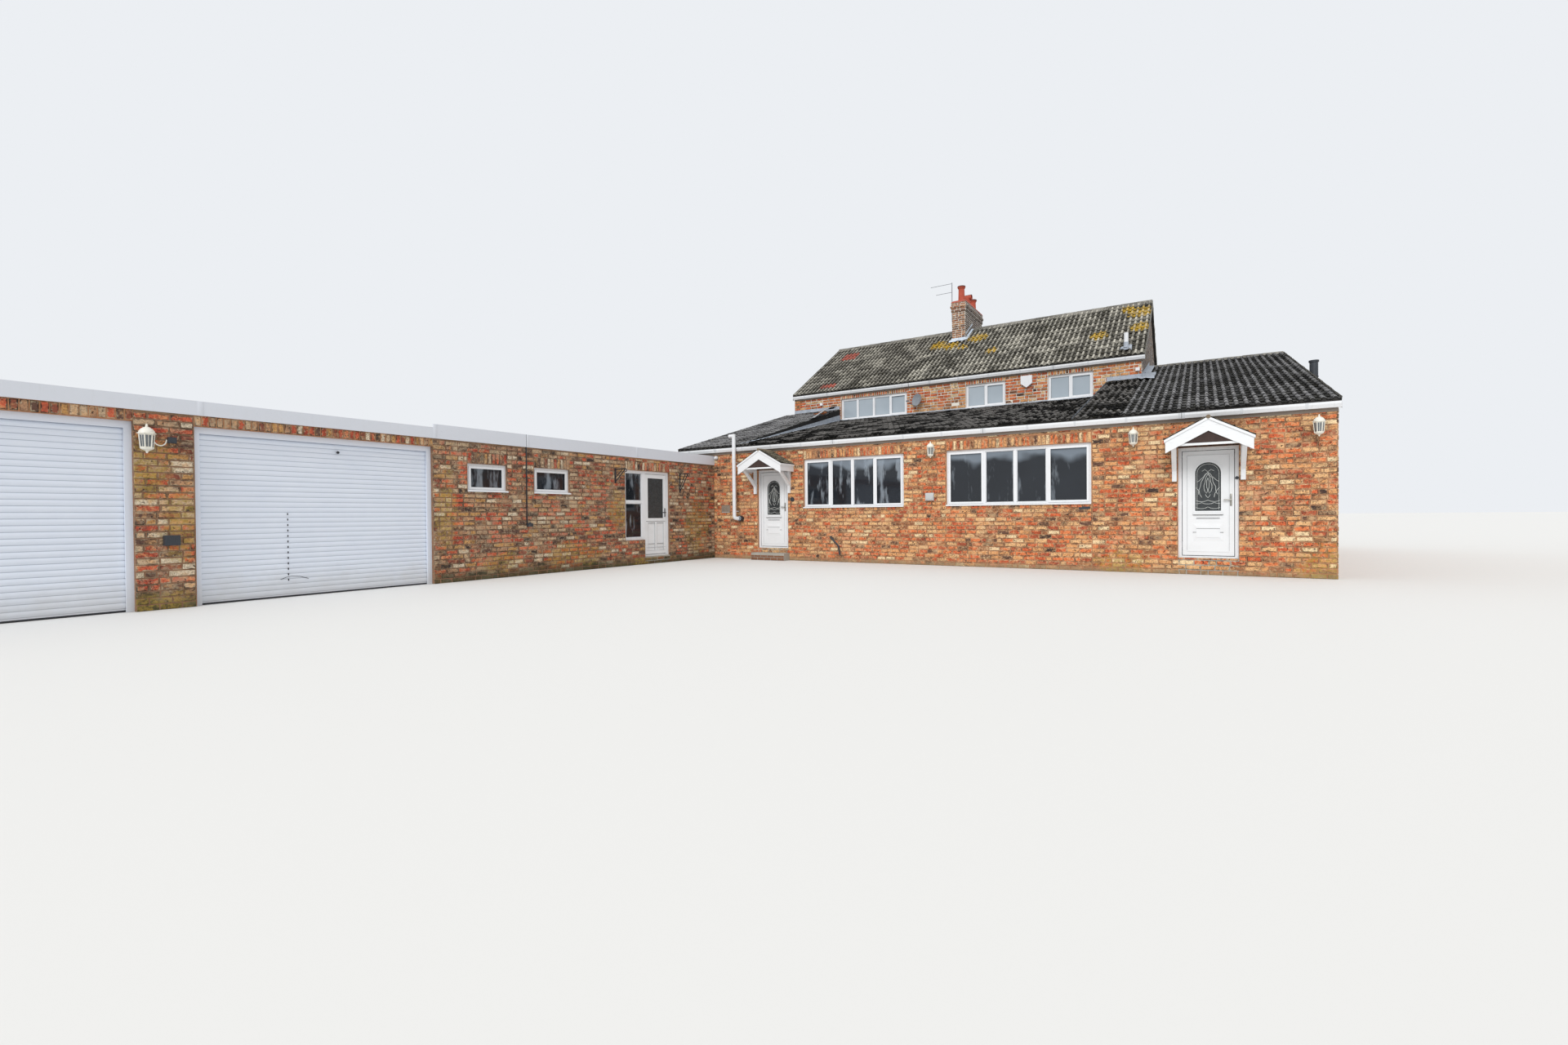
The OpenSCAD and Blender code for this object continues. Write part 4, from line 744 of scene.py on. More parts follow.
def house_walls(sizes):
    """The outer faces of the house, without its right-hand gable."""
    front_top = eave_top(6, 0, 2.9)
    main_top = eave_top(4.5, 5.9, 5.4)
    back_top = eave_top(11.8, 13.2, 3)
    window_right = max(u1 for u0, u1, v0, v1 in openings(SOUTH, CORNER.y) if v0 > 1)
    steps = [(min(max(x, LEFT_X), MAIN_X), ROOFS[name].height(MAIN_Y))
             for name in ("left", "middle", "right_low") for x in (ROOFS[name].x0, ROOFS[name].x1)]
    foot = [(CORNER.y, 0), (BACK_Y, 0)]
    right = under(("right_back", BACK_Y), ("right", ROOFS["right"].high_y), ("right", CORNER.y))
    left = under(("main_back", BACK_Y), ("main_front", ROOFS["main_front"].high_y), ("main_front", MAIN_Y),
                 ("left", MAIN_Y), ("left", CORNER.y))
    return [
        outer_face("brick_front", SOUTH, CORNER.y, oblong(CORNER.x, RIGHT_X, front_top), sizes, front_top,
                   [window_right + STRAIGHT_JOINT]),
        outer_face("brick_main_front", SOUTH, MAIN_Y, [*steps, (MAIN_X, main_top), (LEFT_X, main_top)],
                   sizes, main_top),
        outer_face("brick_right_side", EAST, RIGHT_X, foot + right, sizes),
        outer_face("brick_left_side", WEST, LEFT_X, foot + left, sizes),
        outer_face("brick_main_back", NORTH, BACK_Y, oblong(LEFT_X, MAIN_X, main_top), sizes, main_top),
        outer_face("brick_right_back", NORTH, BACK_Y, oblong(MAIN_X, RIGHT_X, back_top), sizes, back_top),
    ]


def gable_wall(sizes):
    """The right-hand gable of the main block, above the roof of the range."""
    front, back = ROOFS["right"], ROOFS["right_back"]
    outline = [(MAIN_Y, front.height(MAIN_Y)), (front.high_y, front.high_z), (BACK_Y, back.height(BACK_Y)),
               *under(("main_back", BACK_Y), ("main_front", ROOFS["main_front"].high_y),
                      ("main_front", MAIN_Y))]
    return outer_face("brick_right_gable", EAST, MAIN_X, outline, sizes)


def garage_walls(sizes):
    """The outer faces of the garage wing."""
    top = WING_HIGH.z
    long_side = oblong(WING_LOW.y, CORNER.y, top)
    return [
        outer_face("brick_garage_yard", EAST, CORNER.x, long_side, sizes, top),
        outer_face("brick_garage_left", WEST, WING_LOW.x, long_side, sizes),
        outer_face("brick_garage_end", SOUTH, WING_LOW.y, oblong(WING_LOW.x, CORNER.x, top), sizes),
        outer_face("brick_garage_back", NORTH, CORNER.y, oblong(WING_LOW.x, LEFT_X, top), sizes),
    ]


CORBEL = 0.025
CAP_H = 0.09
# The chimney's brickwork from the top down, as (below the top, above, steps out)
STACK_BANDS = [(0.115, 0.0, 1), (0.19, 0.115, 2), (0.33, 0.19, 1)]


def stack_shaft():
    """The faces of the chimney's shaft, inside its corbels, as (x0, x1, y0, y1)."""
    low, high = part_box("chimney_stack")
    inset = 2 * CORBEL
    return low.x + inset, high.x - inset, low.y + inset, high.y - inset


def stack_walls():
    """The chimney's faces: the shaft down to the roof, and the corbelled bands above it."""
    x0, x1, y0, y1 = stack_shaft()
    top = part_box("chimney_stack")[1].z - CAP_H
    slope, crest = ROOFS["main_front"], ROOFS["main_front"].high_y
    foot, foot_back = slope.height(y0), ROOFS["main_back"].height(y1)
    shaft_top = top - STACK_BANDS[-1][0]
    sides = [(y0, foot), (crest, slope.height(crest)), (y1, foot_back), (y1, shaft_top), (y0, shaft_top)]
    walls = [
        Wall("stack_front", SOUTH, y0, oblong(x0, x1, shaft_top, foot)),
        Wall("stack_back", NORTH, y1, oblong(x0, x1, shaft_top, foot_back)),
        Wall("stack_right", EAST, x1, sides),
        Wall("stack_left", WEST, x0, sides),
    ]
    for i, (below, above, steps) in enumerate(STACK_BANDS):
        s = steps * CORBEL
        for out, plane, u0, u1 in ((SOUTH, y0 - s, x0 - s, x1 + s), (NORTH, y1 + s, x0 - s, x1 + s),
                                   (EAST, x1 + s, y0 - s, y1 + s), (WEST, x0 - s, y0 - s, y1 + s)):
            walls.append(Wall(f"stack_band_{i}", out, plane, oblong(u0, u1, top - above, top - below)))
    return walls


# Finishes of bricks and mortar. A mix is a list of (share, colour).

HOUSE_MIX = [(0.18, (210, 96, 52)), (0.16, (224, 122, 70)), (0.12, (186, 90, 56)), (0.17, (222, 158, 102)),
             (0.15, (232, 182, 128)), (0.07, (244, 216, 170)), (0.08, (160, 106, 70)),
             (0.05, (104, 72, 56)), (0.02, (58, 42, 38))]
GARAGE_MIX = [(0.17, (188, 78, 52)), (0.14, (206, 96, 64)), (0.12, (144, 78, 58)), (0.13, (178, 136, 104)),
              (0.12, (200, 172, 140)), (0.08, (224, 208, 182)), (0.08, (190, 142, 84)),
              (0.10, (98, 70, 58)), (0.06, (52, 42, 40))]
GABLE_MIX = [(0.3, (142, 134, 128)), (0.3, (128, 124, 122)), (0.2, (150, 132, 120)), (0.2, (112, 110, 112))]
STACK_MIX = [(0.25, (176, 118, 86)), (0.2, (160, 100, 74)), (0.2, (190, 140, 104)), (0.2, (134, 90, 72)),
             (0.15, (104, 78, 70))]

# Patches of growth as (x, y, z, reach along, reach up)
HOUSE_GROWTH = [(13.3, 0, 0.25, 0.5, 0.45), (10.2, 0, 0.2, 0.5, 0.25)]
GARAGE_GROWTH = [(0, -0.75, 0.9, 0.55, 0.75), (0, -3.55, 1.35, 0.45, 0.5), (0, -5.0, 0.35, 1.0, 0.3),
                 (0, -7.75, 1.2, 0.22, 0.9), (0, -11.75, 1.85, 0.3, 0.5), (0, -11.4, 1.1, 0.25, 0.5),
                 (0, -2.4, 0.3, 0.4, 0.25), (0, -6.6, 0.3, 0.5, 0.22), (0, -11.7, 0.08, 0.5, 0.17),
                 (0, -2.9, 0.08, 0.35, 0.13)]
# The damp or cemented strip along the ground as (dark, pale, height)
HOUSE_FOOT = ((112, 92, 66), (176, 150, 116), 0.16)
GARAGE_FOOT = ((14, 14, 10), (84, 82, 42), 0.32)
# How strongly painted shade greys the chimney's faces that look east, where little of the lamp's light
# falls
STACK_EAST_SHADE = 0.85
INSIDE_RIM = 0.004


def brick_finish(name, mix, mortar, dark, smear, patches=(), foot=None, east_face_shade=0.0):
    """Old bricks in mixed colours under ragged lime mortar, with open joints, chips and dirt; painted shade
    darkens the open joints, pits and cracks.

    The last argument paints shade, grey and dark, on the faces that look east, where little of the lamp's
    light falls.
    """
    f = Finish(name)
    f.base = f.pick(f.attribute("tone"), mix)
    grain = f.noise(48, 5, 0.7)
    cloud = f.noise(9, 4, 0.6)
    f.coat(f.band(cloud, 0.46, 0.68) * 0.6, (224, 172, 118))
    f.coat(f.band(cloud, 0.46, 0.28) * 0.5, (96, 62, 48))
    f.coat(f.band(grain, 0.54, 0.34) * 0.6, (72, 46, 36))
    sides = [f.attribute(f"half_{way}") - f.attribute(way).size() for way in ("along", "up")]
    edge = sides[0].least(sides[1])
    ragged = edge + f.waver(0.1, 20, 5, 0.7)
    lime = f.band(f.noise(6.5, 6, 0.7) + f.waver(0.6, 0.9, 3, 0.6), 0.5, 0.62)
    cover = f.band(ragged, 0.011, 0.001).most(lime * smear)
    f.coat(cover * 0.9, f.mix(f.noise(30, 4, 0.7), dark, mortar))
    # Open joints, pits and cracks: real hollows, their darkness painted shade
    shaded_open_joint = f.band(edge + f.waver(0.05, 15, 3), 0.011, 0.0) * f.band(f.noise(4, 3), 0.4, 0.54)
    pits = f.band(f.noise(25, 3, 0.5), 0.62, 0.7)
    winding = f.waver(1.0, 8, 5, 0.72).size()
    cracks = f.band(winding, 0.016, 0.004) * f.band(f.noise(2.2, 3), 0.42, 0.56)
    holes = shaded_open_joint.most(pits).most(cracks * 0.8)
    f.coat(holes * 0.88, (42, 29, 23))
    if foot:
        wet, dry, height = foot
        low = f.band(f.axis("Z") + f.waver(0.3, 2.6, 4, 0.6), height, 0.02)
        f.coat(low * 0.9, f.mix(f.noise(14, 4, 0.7), wet, dry))
    if patches:
        places = [(yard(x, y, z), (wide, wide, tall)) for x, y, z, wide, tall in patches]
        green = f.spots(places, 3, 1.1, 0.2, 3.5, 4, 0.65)
        f.coat(green * f.band(f.noise(19, 5, 0.7), 0.36, 0.6) * 0.68, (168, 140, 62))
    # Painted shade, grey and dark, on the faces that look east
    if east_face_shade:
        f.coat((f.normal("X") > 0.5) * east_face_shade, f.mix(cover, (56, 54, 56), (158, 154, 151)))
    return f.done(0.74 + grain * 0.22, grain + cloud * 0.6 - holes * 1.6 - cover * 0.3, 0.006)


def rooms():
    """The inside of the house and garage, as boxes of the model's frame."""
    main_low, main_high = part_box("upper_floor")
    floor_low, floor_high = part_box("ground_floor")
    wing_low, wing_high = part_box("garage_floor")
    top = cad_box[1].z
    rim = Vector((INSIDE_RIM,) * 3)
    pairs = [
        ((floor_low.x, floor_low.y, 0), (floor_high.x, MAIN_Y, top)),
        ((MAIN_X, MAIN_Y, 0), (floor_high.x, floor_high.y, top)),
        ((main_low.x, main_low.y, 0), (main_high.x, main_high.y, top)),
        ((wing_low.x, wing_low.y, 0), (wing_high.x, CORNER.y, WING_HIGH.z)),
    ]
    return [(Vector(a) - rim, Vector(b) + rim) for a, b in pairs]


def mortar_finish(name, pale, dark, bricks, course=HOUSE_COURSE):
    """The mortar between the bricks, brick-striped reveals, and plaster on the inside."""
    f = Finish(name)
    f.ground(dark, pale, 9, 5, 0.65)
    f.flecks(dark, 0.4, 0.45, 0.7, 55, 3)
    f.coat(f.band((f.axis("Z") / course).part(), 0.12, 0.2) * 0.4, bricks)
    f.coat(functools.reduce(Value.most, [f.within(low, high) for low, high in rooms()]), (226, 221, 210))
    return f.done(0.92, f.noise(70, 4, 0.6), 0.004)


# Roof tiles and ridges

LAP, TILE_BACK = 1.08, -0.004
ROLL_MIDDLES, ROLL_HALF, ROLL_STEPS = (0.25, 0.75), 0.13, 5
# How far a tile strays and turns, and how high it lies over the slope
TILE_STRAY, TILE_TURN, TILE_LIFT = 0.0028, 0.006, 0.002
RIDGE_RADIUS, RIDGE_THICK, RIDGE_SEED = 0.12, 0.018, 11
# How much a ridge tile widens at its collar, tilts, and leaves open to the next
RIDGE_SWELL, RIDGE_TILT, RIDGE_GAP = 0.05, 0.002, 0.006


def tile_pattern(roll, tail):
    """A tile 1 wide and 1 long with its tail at y = 0: two rolls between flat pans, and a thick tail."""
    bm = bmesh.new()
    across = [(0.0, 0.0)]
    for middle in ROLL_MIDDLES:
        for k in range(ROLL_STEPS + 1):
            turn = math.pi * k / ROLL_STEPS
            across.append((middle - ROLL_HALF * math.cos(turn), roll * math.sin(turn)))
    across.append((1.0, 0.0))
    points = [bm.verts.new((x, 0, z + tail)) for x, z in across]
    end = [bm.edges.new(pair) for pair in zip(points, points[1:])]
    pull(bm, end, (0, LAP, -tail))
    down = pull(bm, end, (0, 0, -tail + TILE_BACK))
    for vert in {v for edge in down for v in edge.verts}:
        vert.co.z = TILE_BACK
    return pattern(bm, UP)


def tile_field(name, start, along, uphill, width, run, cover, gauge, roll, tail, seed, inside=None):
    """A mesh of tiles that covers a flat slope from its lower left corner."""
    dice = np.random.default_rng(seed)
    columns, rows = max(1, round(width / cover)), max(1, round(run / gauge))
    cover, gauge = width / columns, run / rows
    points, faces = tile_pattern(roll, tail)
    column, row = (a.ravel() for a in np.meshgrid(np.arange(columns), np.arange(rows)))
    count = len(row)
    stray = dice.normal(0, TILE_STRAY, (count, 3))
    turn = dice.normal(0, TILE_TURN, count)
    u = (column * cover)[:, None] + points[:, 0] * cover + stray[:, :1]
    v = (row * gauge)[:, None] + points[:, 1] * gauge + stray[:, 1:2] + turn[:, None] * points[:, 0] * cover
    v = np.minimum(v, run)
    h = points[:, 2] + TILE_LIFT + np.abs(stray[:, 2:])
    corners = np.array(start) + u[..., None] * np.array(along) + v[..., None] * np.array(uphill)
    corners = corners + h[..., None] * np.array(along.cross(uphill))
    high = points[:, 2] - tail * np.clip(1 - points[:, 1] / LAP, 0, 1)
    climb = np.where(points[:, 2] < 0, np.where(points[:, 1] < 0.01, -1.0, 1.2), points[:, 1])
    patch = inside(corners.mean(1)) if inside else np.zeros(count)
    crest = np.tile(np.clip(high / roll, 0, 1), (count, 1))
    return copies_mesh(name, corners, faces, tone=dice.random(count), patch=patch, crest=crest,
                       climb=np.tile(climb, (count, 1)))


def lay_tiles(name, slope, sizes, material, seed, patches=()):
    """Covers a slope with tiles. patches are (x0, x1, y0, y1) of the yard whose tiles are red."""
    rise = slope.rise()
    faces_back = rise.y < 0
    start = Vector((slope.x1 if faces_back else slope.x0, slope.low_y, slope.low_z))

    def inside(centre):
        found = np.zeros(len(centre))
        for x0, x1, y0, y1 in patches:
            low, high = yard(x0, y0), yard(x1, y1)
            found[(centre[:, 0] > low.x) & (centre[:, 0] < high.x)
                  & (centre[:, 1] > low.y) & (centre[:, 1] < high.y)] = 1
        return found

    mesh = tile_field(name, start, WEST if faces_back else EAST, rise.normalized(), slope.x1 - slope.x0,
                      rise.length, sizes.cover, sizes.gauge, sizes.roll, sizes.tail, seed, inside)
    return piece(name, mesh, material)


def ridge_pattern():
    """A half-round ridge tile 1 long, lying along X."""
    bm = bmesh.new()
    inner = bm.verts.new((0, -RIDGE_RADIUS + RIDGE_THICK, 0))
    outer = bm.verts.new((0, -RIDGE_RADIUS, 0))
    rim = bm.edges.new((inner, outer))
    bmesh.ops.spin(bm, geom=[inner, outer, rim], cent=(0, 0, 0), axis=EAST, angle=-math.pi, steps=8,
                   use_merge=False)
    side = bmesh.ops.extrude_face_region(bm, geom=bm.faces[:])["geom"]
    bmesh.ops.translate(bm, vec=EAST, verts=only(bmesh.types.BMVert, side))
    return pattern(bm)


def lay_ridges(sizes, material):
    """Half-round ridge tiles end to end on their mortar, for both ridges."""
    dice = np.random.default_rng(RIDGE_SEED)
    points, faces = ridge_pattern()
    corners = []
    for low, high in solid_boxes("ridge_tiles"):
        middle = Vector((low[0], (low[1] + high[1]) / 2, high[2] - RIDGE_RADIUS))
        count = max(1, round((high[0] - low[0]) / sizes.ridge_len))
        step = (high[0] - low[0]) / count
        for k in range(count):
            swell = 1 + RIDGE_SWELL * (1 - points[:, :1])
            tilt = dice.normal(0, RIDGE_TILT)
            one = np.concatenate([points[:, :1] * (step - RIDGE_GAP) + k * step, points[:, 1:] * swell], 1)
            one[:, 2] += tilt * (points[:, 0] - 0.5) - RIDGE_GAP
            corners.append(one + np.array(middle))
    mesh = copies_mesh("ridge_row", np.array(corners), faces, tone=dice.random(len(corners)),
                       crest=np.full(len(corners), 0.8), climb=np.full(len(corners), 0.4))
    return piece("ridge_row", mesh, material, replaces=["ridge_tiles"])


def tile_finish(name, dark, pale, moss, grey, mixed=0.34, lichen=(), batch_x=None):
    """Weathered concrete tiles: roll tops paler and pans darker, partly weathering and partly painted
    highlight and shade, painted shadow at the tails, lichen and moss.

    mixed says how much one tile differs from the next. The tiles left of batch_x are darker.
    """
    f = Finish(name)
    tone = f.attribute("tone")
    cloud = f.noise(1.1, 3)
    fine = f.noise(26, 5, 0.7)
    rough = fine - 0.5
    # Paler towards the roll crests: partly weathering, partly a painted highlight on the rolls and painted
    # shade in the pans
    top = f.band(f.attribute("crest") + rough * 1.3, 0.1, 1.0)
    shade = top * 0.45 + 0.17 + (tone - 0.5) * mixed + (cloud - 0.5) + rough * 0.9
    f.base = f.mix(f.band(shade, 0.05, 0.95), dark, pale)
    speck = f.band(f.noise(34, 4, 0.7), 0.55, 0.66) * f.band(f.noise(1.7, 3), 0.36, 0.6)
    f.coat(speck * grey, (204, 201, 190))
    crust = f.band(f.noise(11, 5, 0.7), 0.56, 0.64)
    f.coat(crust * grey * 0.55, (172, 168, 154))
    f.flecks(dark, 0.5, 0.45, 0.36, 13, 4, 0.6)
    mossy = f.band(f.noise(12, 4, 0.6), 0.52, 0.64) * f.band(f.attribute("crest"), 0.6, 0.1)
    f.coat(mossy * moss, (78, 74, 42))
    if lichen:
        yellow = f.spots([(yard(x, y), (size, size)) for x, y, size in lichen], 2.4, 1.0, 0.3, 5, 4, 0.7)
        f.coat(yellow * f.band(f.noise(16, 4, 0.7), 0.41, 0.53) * 0.94, (200, 162, 40))
    if batch_x is not None:
        f.coat(f.band(f.axis("X"), batch_x + 0.02, batch_x) * 0.22, (66, 62, 58))
    f.coat(f.attribute("patch") * f.band(fine + tone * 0.3, 0.42, 0.6) * 0.8, (186, 96, 82))
    # Painted shadow just under the tail of the next tile up and on the lower part of each tail
    climb = f.attribute("climb")
    under_next = f.band(climb + rough * 0.16, 0.84, 0.98).most(f.band(climb, -0.12, -0.3))
    f.coat(under_next * 0.88, (20, 19, 18))
    return f.done(0.9, fine + crust * 0.6, 0.005, shine=0.08)


def slab_finish(name):
    """Under the tiles: dark felt on top, and the verges' cement at the ends."""
    f = Finish(name)
    end = f.normal("X")
    f.ground((40, 39, 38), (58, 55, 52), 14, 3)
    f.coat(end * end > 0.5, f.mix(f.noise(20, 4, 0.6), (120, 116, 108), (168, 163, 152)))
    return f.done(0.9, f.noise(60, 3), 0.003)


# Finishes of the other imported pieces

SHUTTER_TOP = 2.355
SLAT_H = 0.077
SHUTTER_X = CORNER.x - 0.1
WING_FASCIA_X = CORNER.x + 0.03
WING_FASCIA_Z = (WING_HIGH.z - 0.01, 2.86)
BOARD_W = 0.14


def concrete_finish():
    """Trowelled concrete, a little stained."""
    f = Finish("concrete")
    f.ground((142, 138, 130), (182, 177, 166), 4, 5, 0.6)
    f.flecks((112, 108, 100), 0.5, 0.6, 0.75, 60, 3)
    return f.done(0.9, f.noise(90, 4, 0.6), 0.002)


def boards_finish():
    """Floor boards running from left to right."""
    f = Finish("floor_boards")
    gap = f.band(((f.axis("Y") / BOARD_W).part() - 0.5).size(), 0.47, 0.49)
    grain = f.noise(6, 5, 0.6, f.stretched(1.5, 14, 14))
    f.base = f.mix(grain, (126, 92, 60), (176, 138, 96))
    f.coat(gap, (50, 36, 26))
    return f.done(0.6, grain - gap * 2, 0.002)


def clay_finish():
    """Red terracotta with soot at the rims. The pots at the back stand lower."""
    f = Finish("red_clay")
    f.ground((150, 62, 44), (196, 92, 68), 9, 4, 0.6)
    low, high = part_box("chimney_pots")
    rim = high.z - ((f.axis("Y") - low.y) > 0.4) * 0.12
    f.coat(f.band(rim - f.axis("Z") - f.noise(12, 3) * 0.05, 0.02, 0.0) * 0.85, (58, 40, 38))
    return f.done(0.8, f.noise(70, 4, 0.6), 0.002)


def plastic(name, shade=(228, 230, 233)):
    """White plastic, with a little grime in streaks. The garage's fascia, facing east, has less grime and
    painted shade: a darker, bluer white.
    """
    f = Finish(name)
    low, high = WING_FASCIA_Z
    fascia = (f.axis("X") < WING_FASCIA_X) * (f.axis("Z") > low) * (f.axis("Z") < high)
    # Painted shade on the garage's fascia, which faces east, where little of the lamp's light falls
    f.base = f.mix(fascia, shade, (211, 215, 223))
    streak = f.noise(5, 4, 0.6, f.stretched(6, 6, 0.8))
    f.coat(f.band(streak, 0.5, 0.8) * 0.3 * (1 - fascia * 0.7), (184, 184, 178))
    return f.done(f.noise(20, 2) * 0.2 + 0.22, f.noise(160, 2), 0.0004)


def eave_board_finish():
    """Grey-brown boards behind the gutters."""
    f = Finish("grey_board")
    f.ground((120, 108, 98), (158, 147, 136), 7, 4, 0.6, f.stretched(0.6, 0.6, 6))
    return f.done(0.7, f.noise(60, 3), 0.001)


def lead_finish(name="lead", dark=(128, 136, 148), pale=(186, 193, 202)):
    """Weathered lead sheet."""
    f = Finish(name)
    f.ground(dark, pale, 6, 5, 0.6)
    f.flecks((208, 211, 214), 0.5, 0.55, 0.7, 18, 4, 0.7)
    return f.done(0.62, f.noise(22, 4, 0.6), 0.006, metal=0.15)


def felt_finish():
    """Mineral felt in lapped strips across the flat roof, a metre wide each."""
    f = Finish("roof_felt")
    strip = f.axis("Y").part()
    lap = f.band(strip, 0.0, 0.03) * f.band(strip, 0.06, 0.03)
    f.ground((92, 96, 98), (132, 134, 132), 2.2, 5, 0.6)
    f.flecks((160, 160, 156), 0.4, 0.5, 0.7, 150, 2)
    f.coat(lap * 0.5, (58, 60, 62))
    f.flecks((96, 104, 62), 0.5, 0.6, 0.7, 1.7, 4, 0.6)
    return f.done(0.92, f.noise(200, 2) + lap, 0.003)


def steel_finish():
    """White coated steel of the roller shutters: a painted shade line at each slat joint, dust near the
    ground.
    """
    f = Finish("white_steel")
    f.ground((214, 222, 236), (226, 232, 242), 2.4, 4, 0.6)
    slat = ((SHUTTER_TOP - f.axis("Z")) / SLAT_H).part()
    curtain = (f.axis("X") < SHUTTER_X) * (f.axis("Z") < SHUTTER_TOP + 0.005)
    # Painted shade in the joints between the slats
    lines = f.band(slat, 0.1, 0.02).most(f.band(slat, 0.94, 0.99))
    f.coat(lines * curtain * 0.65, (122, 132, 150))
    f.coat(f.band(f.axis("Z") + f.noise(4, 4, 0.6) * 0.4, 0.75, 0.15) * 0.35, (168, 158, 140))
    return f.done(0.42, f.noise(30, 2), 0.0006)


def glass_finish():
    """Dark glazing: painted shade of dim rooms on the ground floor, paler in the left window, and a painted
    sky reflection high on the ground floor windows and upstairs.
    """
    f = Finish("dark_glass")
    height = f.axis("Z")
    kitchen = f.axis("X") < yard(6, 0).x
    # Painted shade of the dim rooms behind the glass
    f.ground((16, 19, 24), (38, 43, 50), 0.9, 3)
    pale = f.band(f.noise(2.4, 4, 0.6, f.stretched(1.6, 1.6, 0.4)) + kitchen * 0.05, 0.55, 0.66)
    f.coat(pale * (0.42 + kitchen * 0.35), (138, 147, 156))
    # Painted reflection of the sky, high on the ground floor windows and over the upstairs ones
    f.coat(f.band(height + f.noise(1.6, 2, 0.4) * 0.7, 2.62, 2.78) * 0.6, (140, 152, 164))
    f.coat(f.band(height, 3.7, 3.9), f.mix(f.noise(1.2, 2), (150, 162, 172), (176, 186, 194)))
    return f.done(0.06, f.noise(1.5, 2), 0.002)


def door_glass_finish():
    """Obscured dark glass with a hammered face."""
    f = Finish("door_glass")
    f.ground((24, 27, 29), (66, 71, 73), 30, 3)
    cells = f.add("ShaderNodeTexVoronoi", {"Vector": f.place, "Scale": 45}, "Distance")
    return f.done(0.18, f.noise(90, 3, 0.6) + cells, 0.004)


def skin_finish():
    """Smooth white skin of the doors."""
    f = Finish("door_skin")
    f.base = f.mix(f.band(f.noise(3, 4, 0.6), 0.5, 0.8) * 0.3, (229, 231, 233), (206, 207, 206))
    return f.done(0.3, f.noise(120, 2), 0.0003)


def timber_finish():
    """White gloss paint on timber, a little worn."""
    f = Finish("painted_timber")
    grain = f.noise(7, 4, 0.6, f.stretched(1, 5, 5))
    f.base = f.mix(f.band(grain, 0.55, 0.8) * 0.5, (230, 232, 234), (196, 195, 190))
    return f.done(0.4, grain, 0.001)


# Painted, bare or stained surfaces, and colours of painted shade, as (dark, pale, roughness)
PAINTS = {
    "cream_metal": ((222, 218, 204), (240, 238, 228), 0.4),
    "black_metal": ((34, 38, 44), (54, 60, 68), 0.5),
    "grey_metal": ((112, 116, 122), (150, 154, 160), 0.45),
    "deep_shade": ((14, 13, 12), (24, 22, 20), 0.9),
    "rotten_wood": ((122, 66, 34), (192, 116, 62), 0.9),
    "red_mortar": ((142, 64, 50), (190, 98, 80), 0.9),
    "ridge_mortar": ((98, 96, 91), (164, 161, 152), 0.95),
    "rubber": ((52, 55, 60), (72, 76, 82), 0.7),
    "lever_chrome": ((128, 126, 118), (176, 174, 166), 0.3),
    "lever_black": ((24, 26, 30), (42, 44, 50), 0.4),
    "moulding_shade": ((104, 106, 108), (136, 138, 140), 0.6),
    "moulding_faint": ((176, 178, 180), (196, 198, 200), 0.6),
    "door_came": ((196, 200, 198), (232, 234, 230), 0.35),
    "canopy_painted_shade": ((44, 32, 30), (74, 56, 50), 0.85),
    "canopy_ridge": ((96, 84, 68), (142, 126, 104), 0.9),
    "fitting_black": ((26, 28, 32), (46, 48, 54), 0.5),
    "lantern_glass": ((60, 64, 68), (124, 130, 134), 0.12),
    "meter_grey": ((176, 178, 178), (196, 197, 196), 0.6),
    "step_brick": ((96, 66, 50), (150, 106, 78), 0.9),
    "louvre": ((120, 104, 88), (160, 142, 122), 0.6),
    "dish_grey": ((96, 98, 102), (140, 142, 146), 0.5),
}
GRIME = {"red_mortar": 0.5, "step_brick": 0.6}
METALLIC = {"lever_chrome": 0.6}


@functools.cache
def painted(name):
    """One of the painted, bare or stained surfaces, or a colour of painted shade, with faint dirt."""
    dark, pale, rough = PAINTS[name]
    f = Finish(name)
    f.ground(dark, pale, 11, 4, 0.6)
    f.flecks((104, 96, 84), GRIME.get(name, 0.3), 0.6, 0.75, 40, 3)
    return f.done(rough, f.noise(120, 2), 0.0005, METALLIC.get(name, 0.0))


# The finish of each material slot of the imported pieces
NODE_FINISHES = {
    "house_brick": (mortar_finish, "house_mortar", (206, 166, 124), (120, 86, 60), (180, 108, 70)),
    "cement_brick": (mortar_finish, "gable_mortar", (146, 142, 138), (116, 112, 110), (134, 126, 120)),
    "garage_brick": (mortar_finish, "garage_mortar", (176, 150, 118), (84, 68, 52), (138, 80, 58),
                     GARAGE_COURSE),
    "chimney_brick": (mortar_finish, "stack_mortar", (150, 138, 128), (96, 86, 80), (120, 90, 76),
                      STACK_COURSE),
    "concrete": (concrete_finish,),
    "floor_boards": (boards_finish,),
    "range_tiles": (slab_finish, "range_slab"),
    "main_tiles": (slab_finish, "main_slab"),
    "ridge_clay": (clay_finish,),
    "red_clay": (clay_finish,),
    "white_plastic": (plastic, "white_plastic"),
    "grey_board": (eave_board_finish,),
    "lead": (lead_finish,),
    "roof_felt": (felt_finish,),
    "white_steel": (steel_finish,),
    "dark_glass": (glass_finish,),
    "door_glass": (door_glass_finish,),
    "door_skin": (skin_finish,),
    "painted_timber": (timber_finish,),
    **{slot: (painted, slot) for slot in ("cream_metal", "black_metal", "grey_metal")},
}


# Brickwork, surfaces and roofs

STACK_SEED = 40
TILE_SEED = 100
FLAT_ROOFS = ("middle", "right_low")
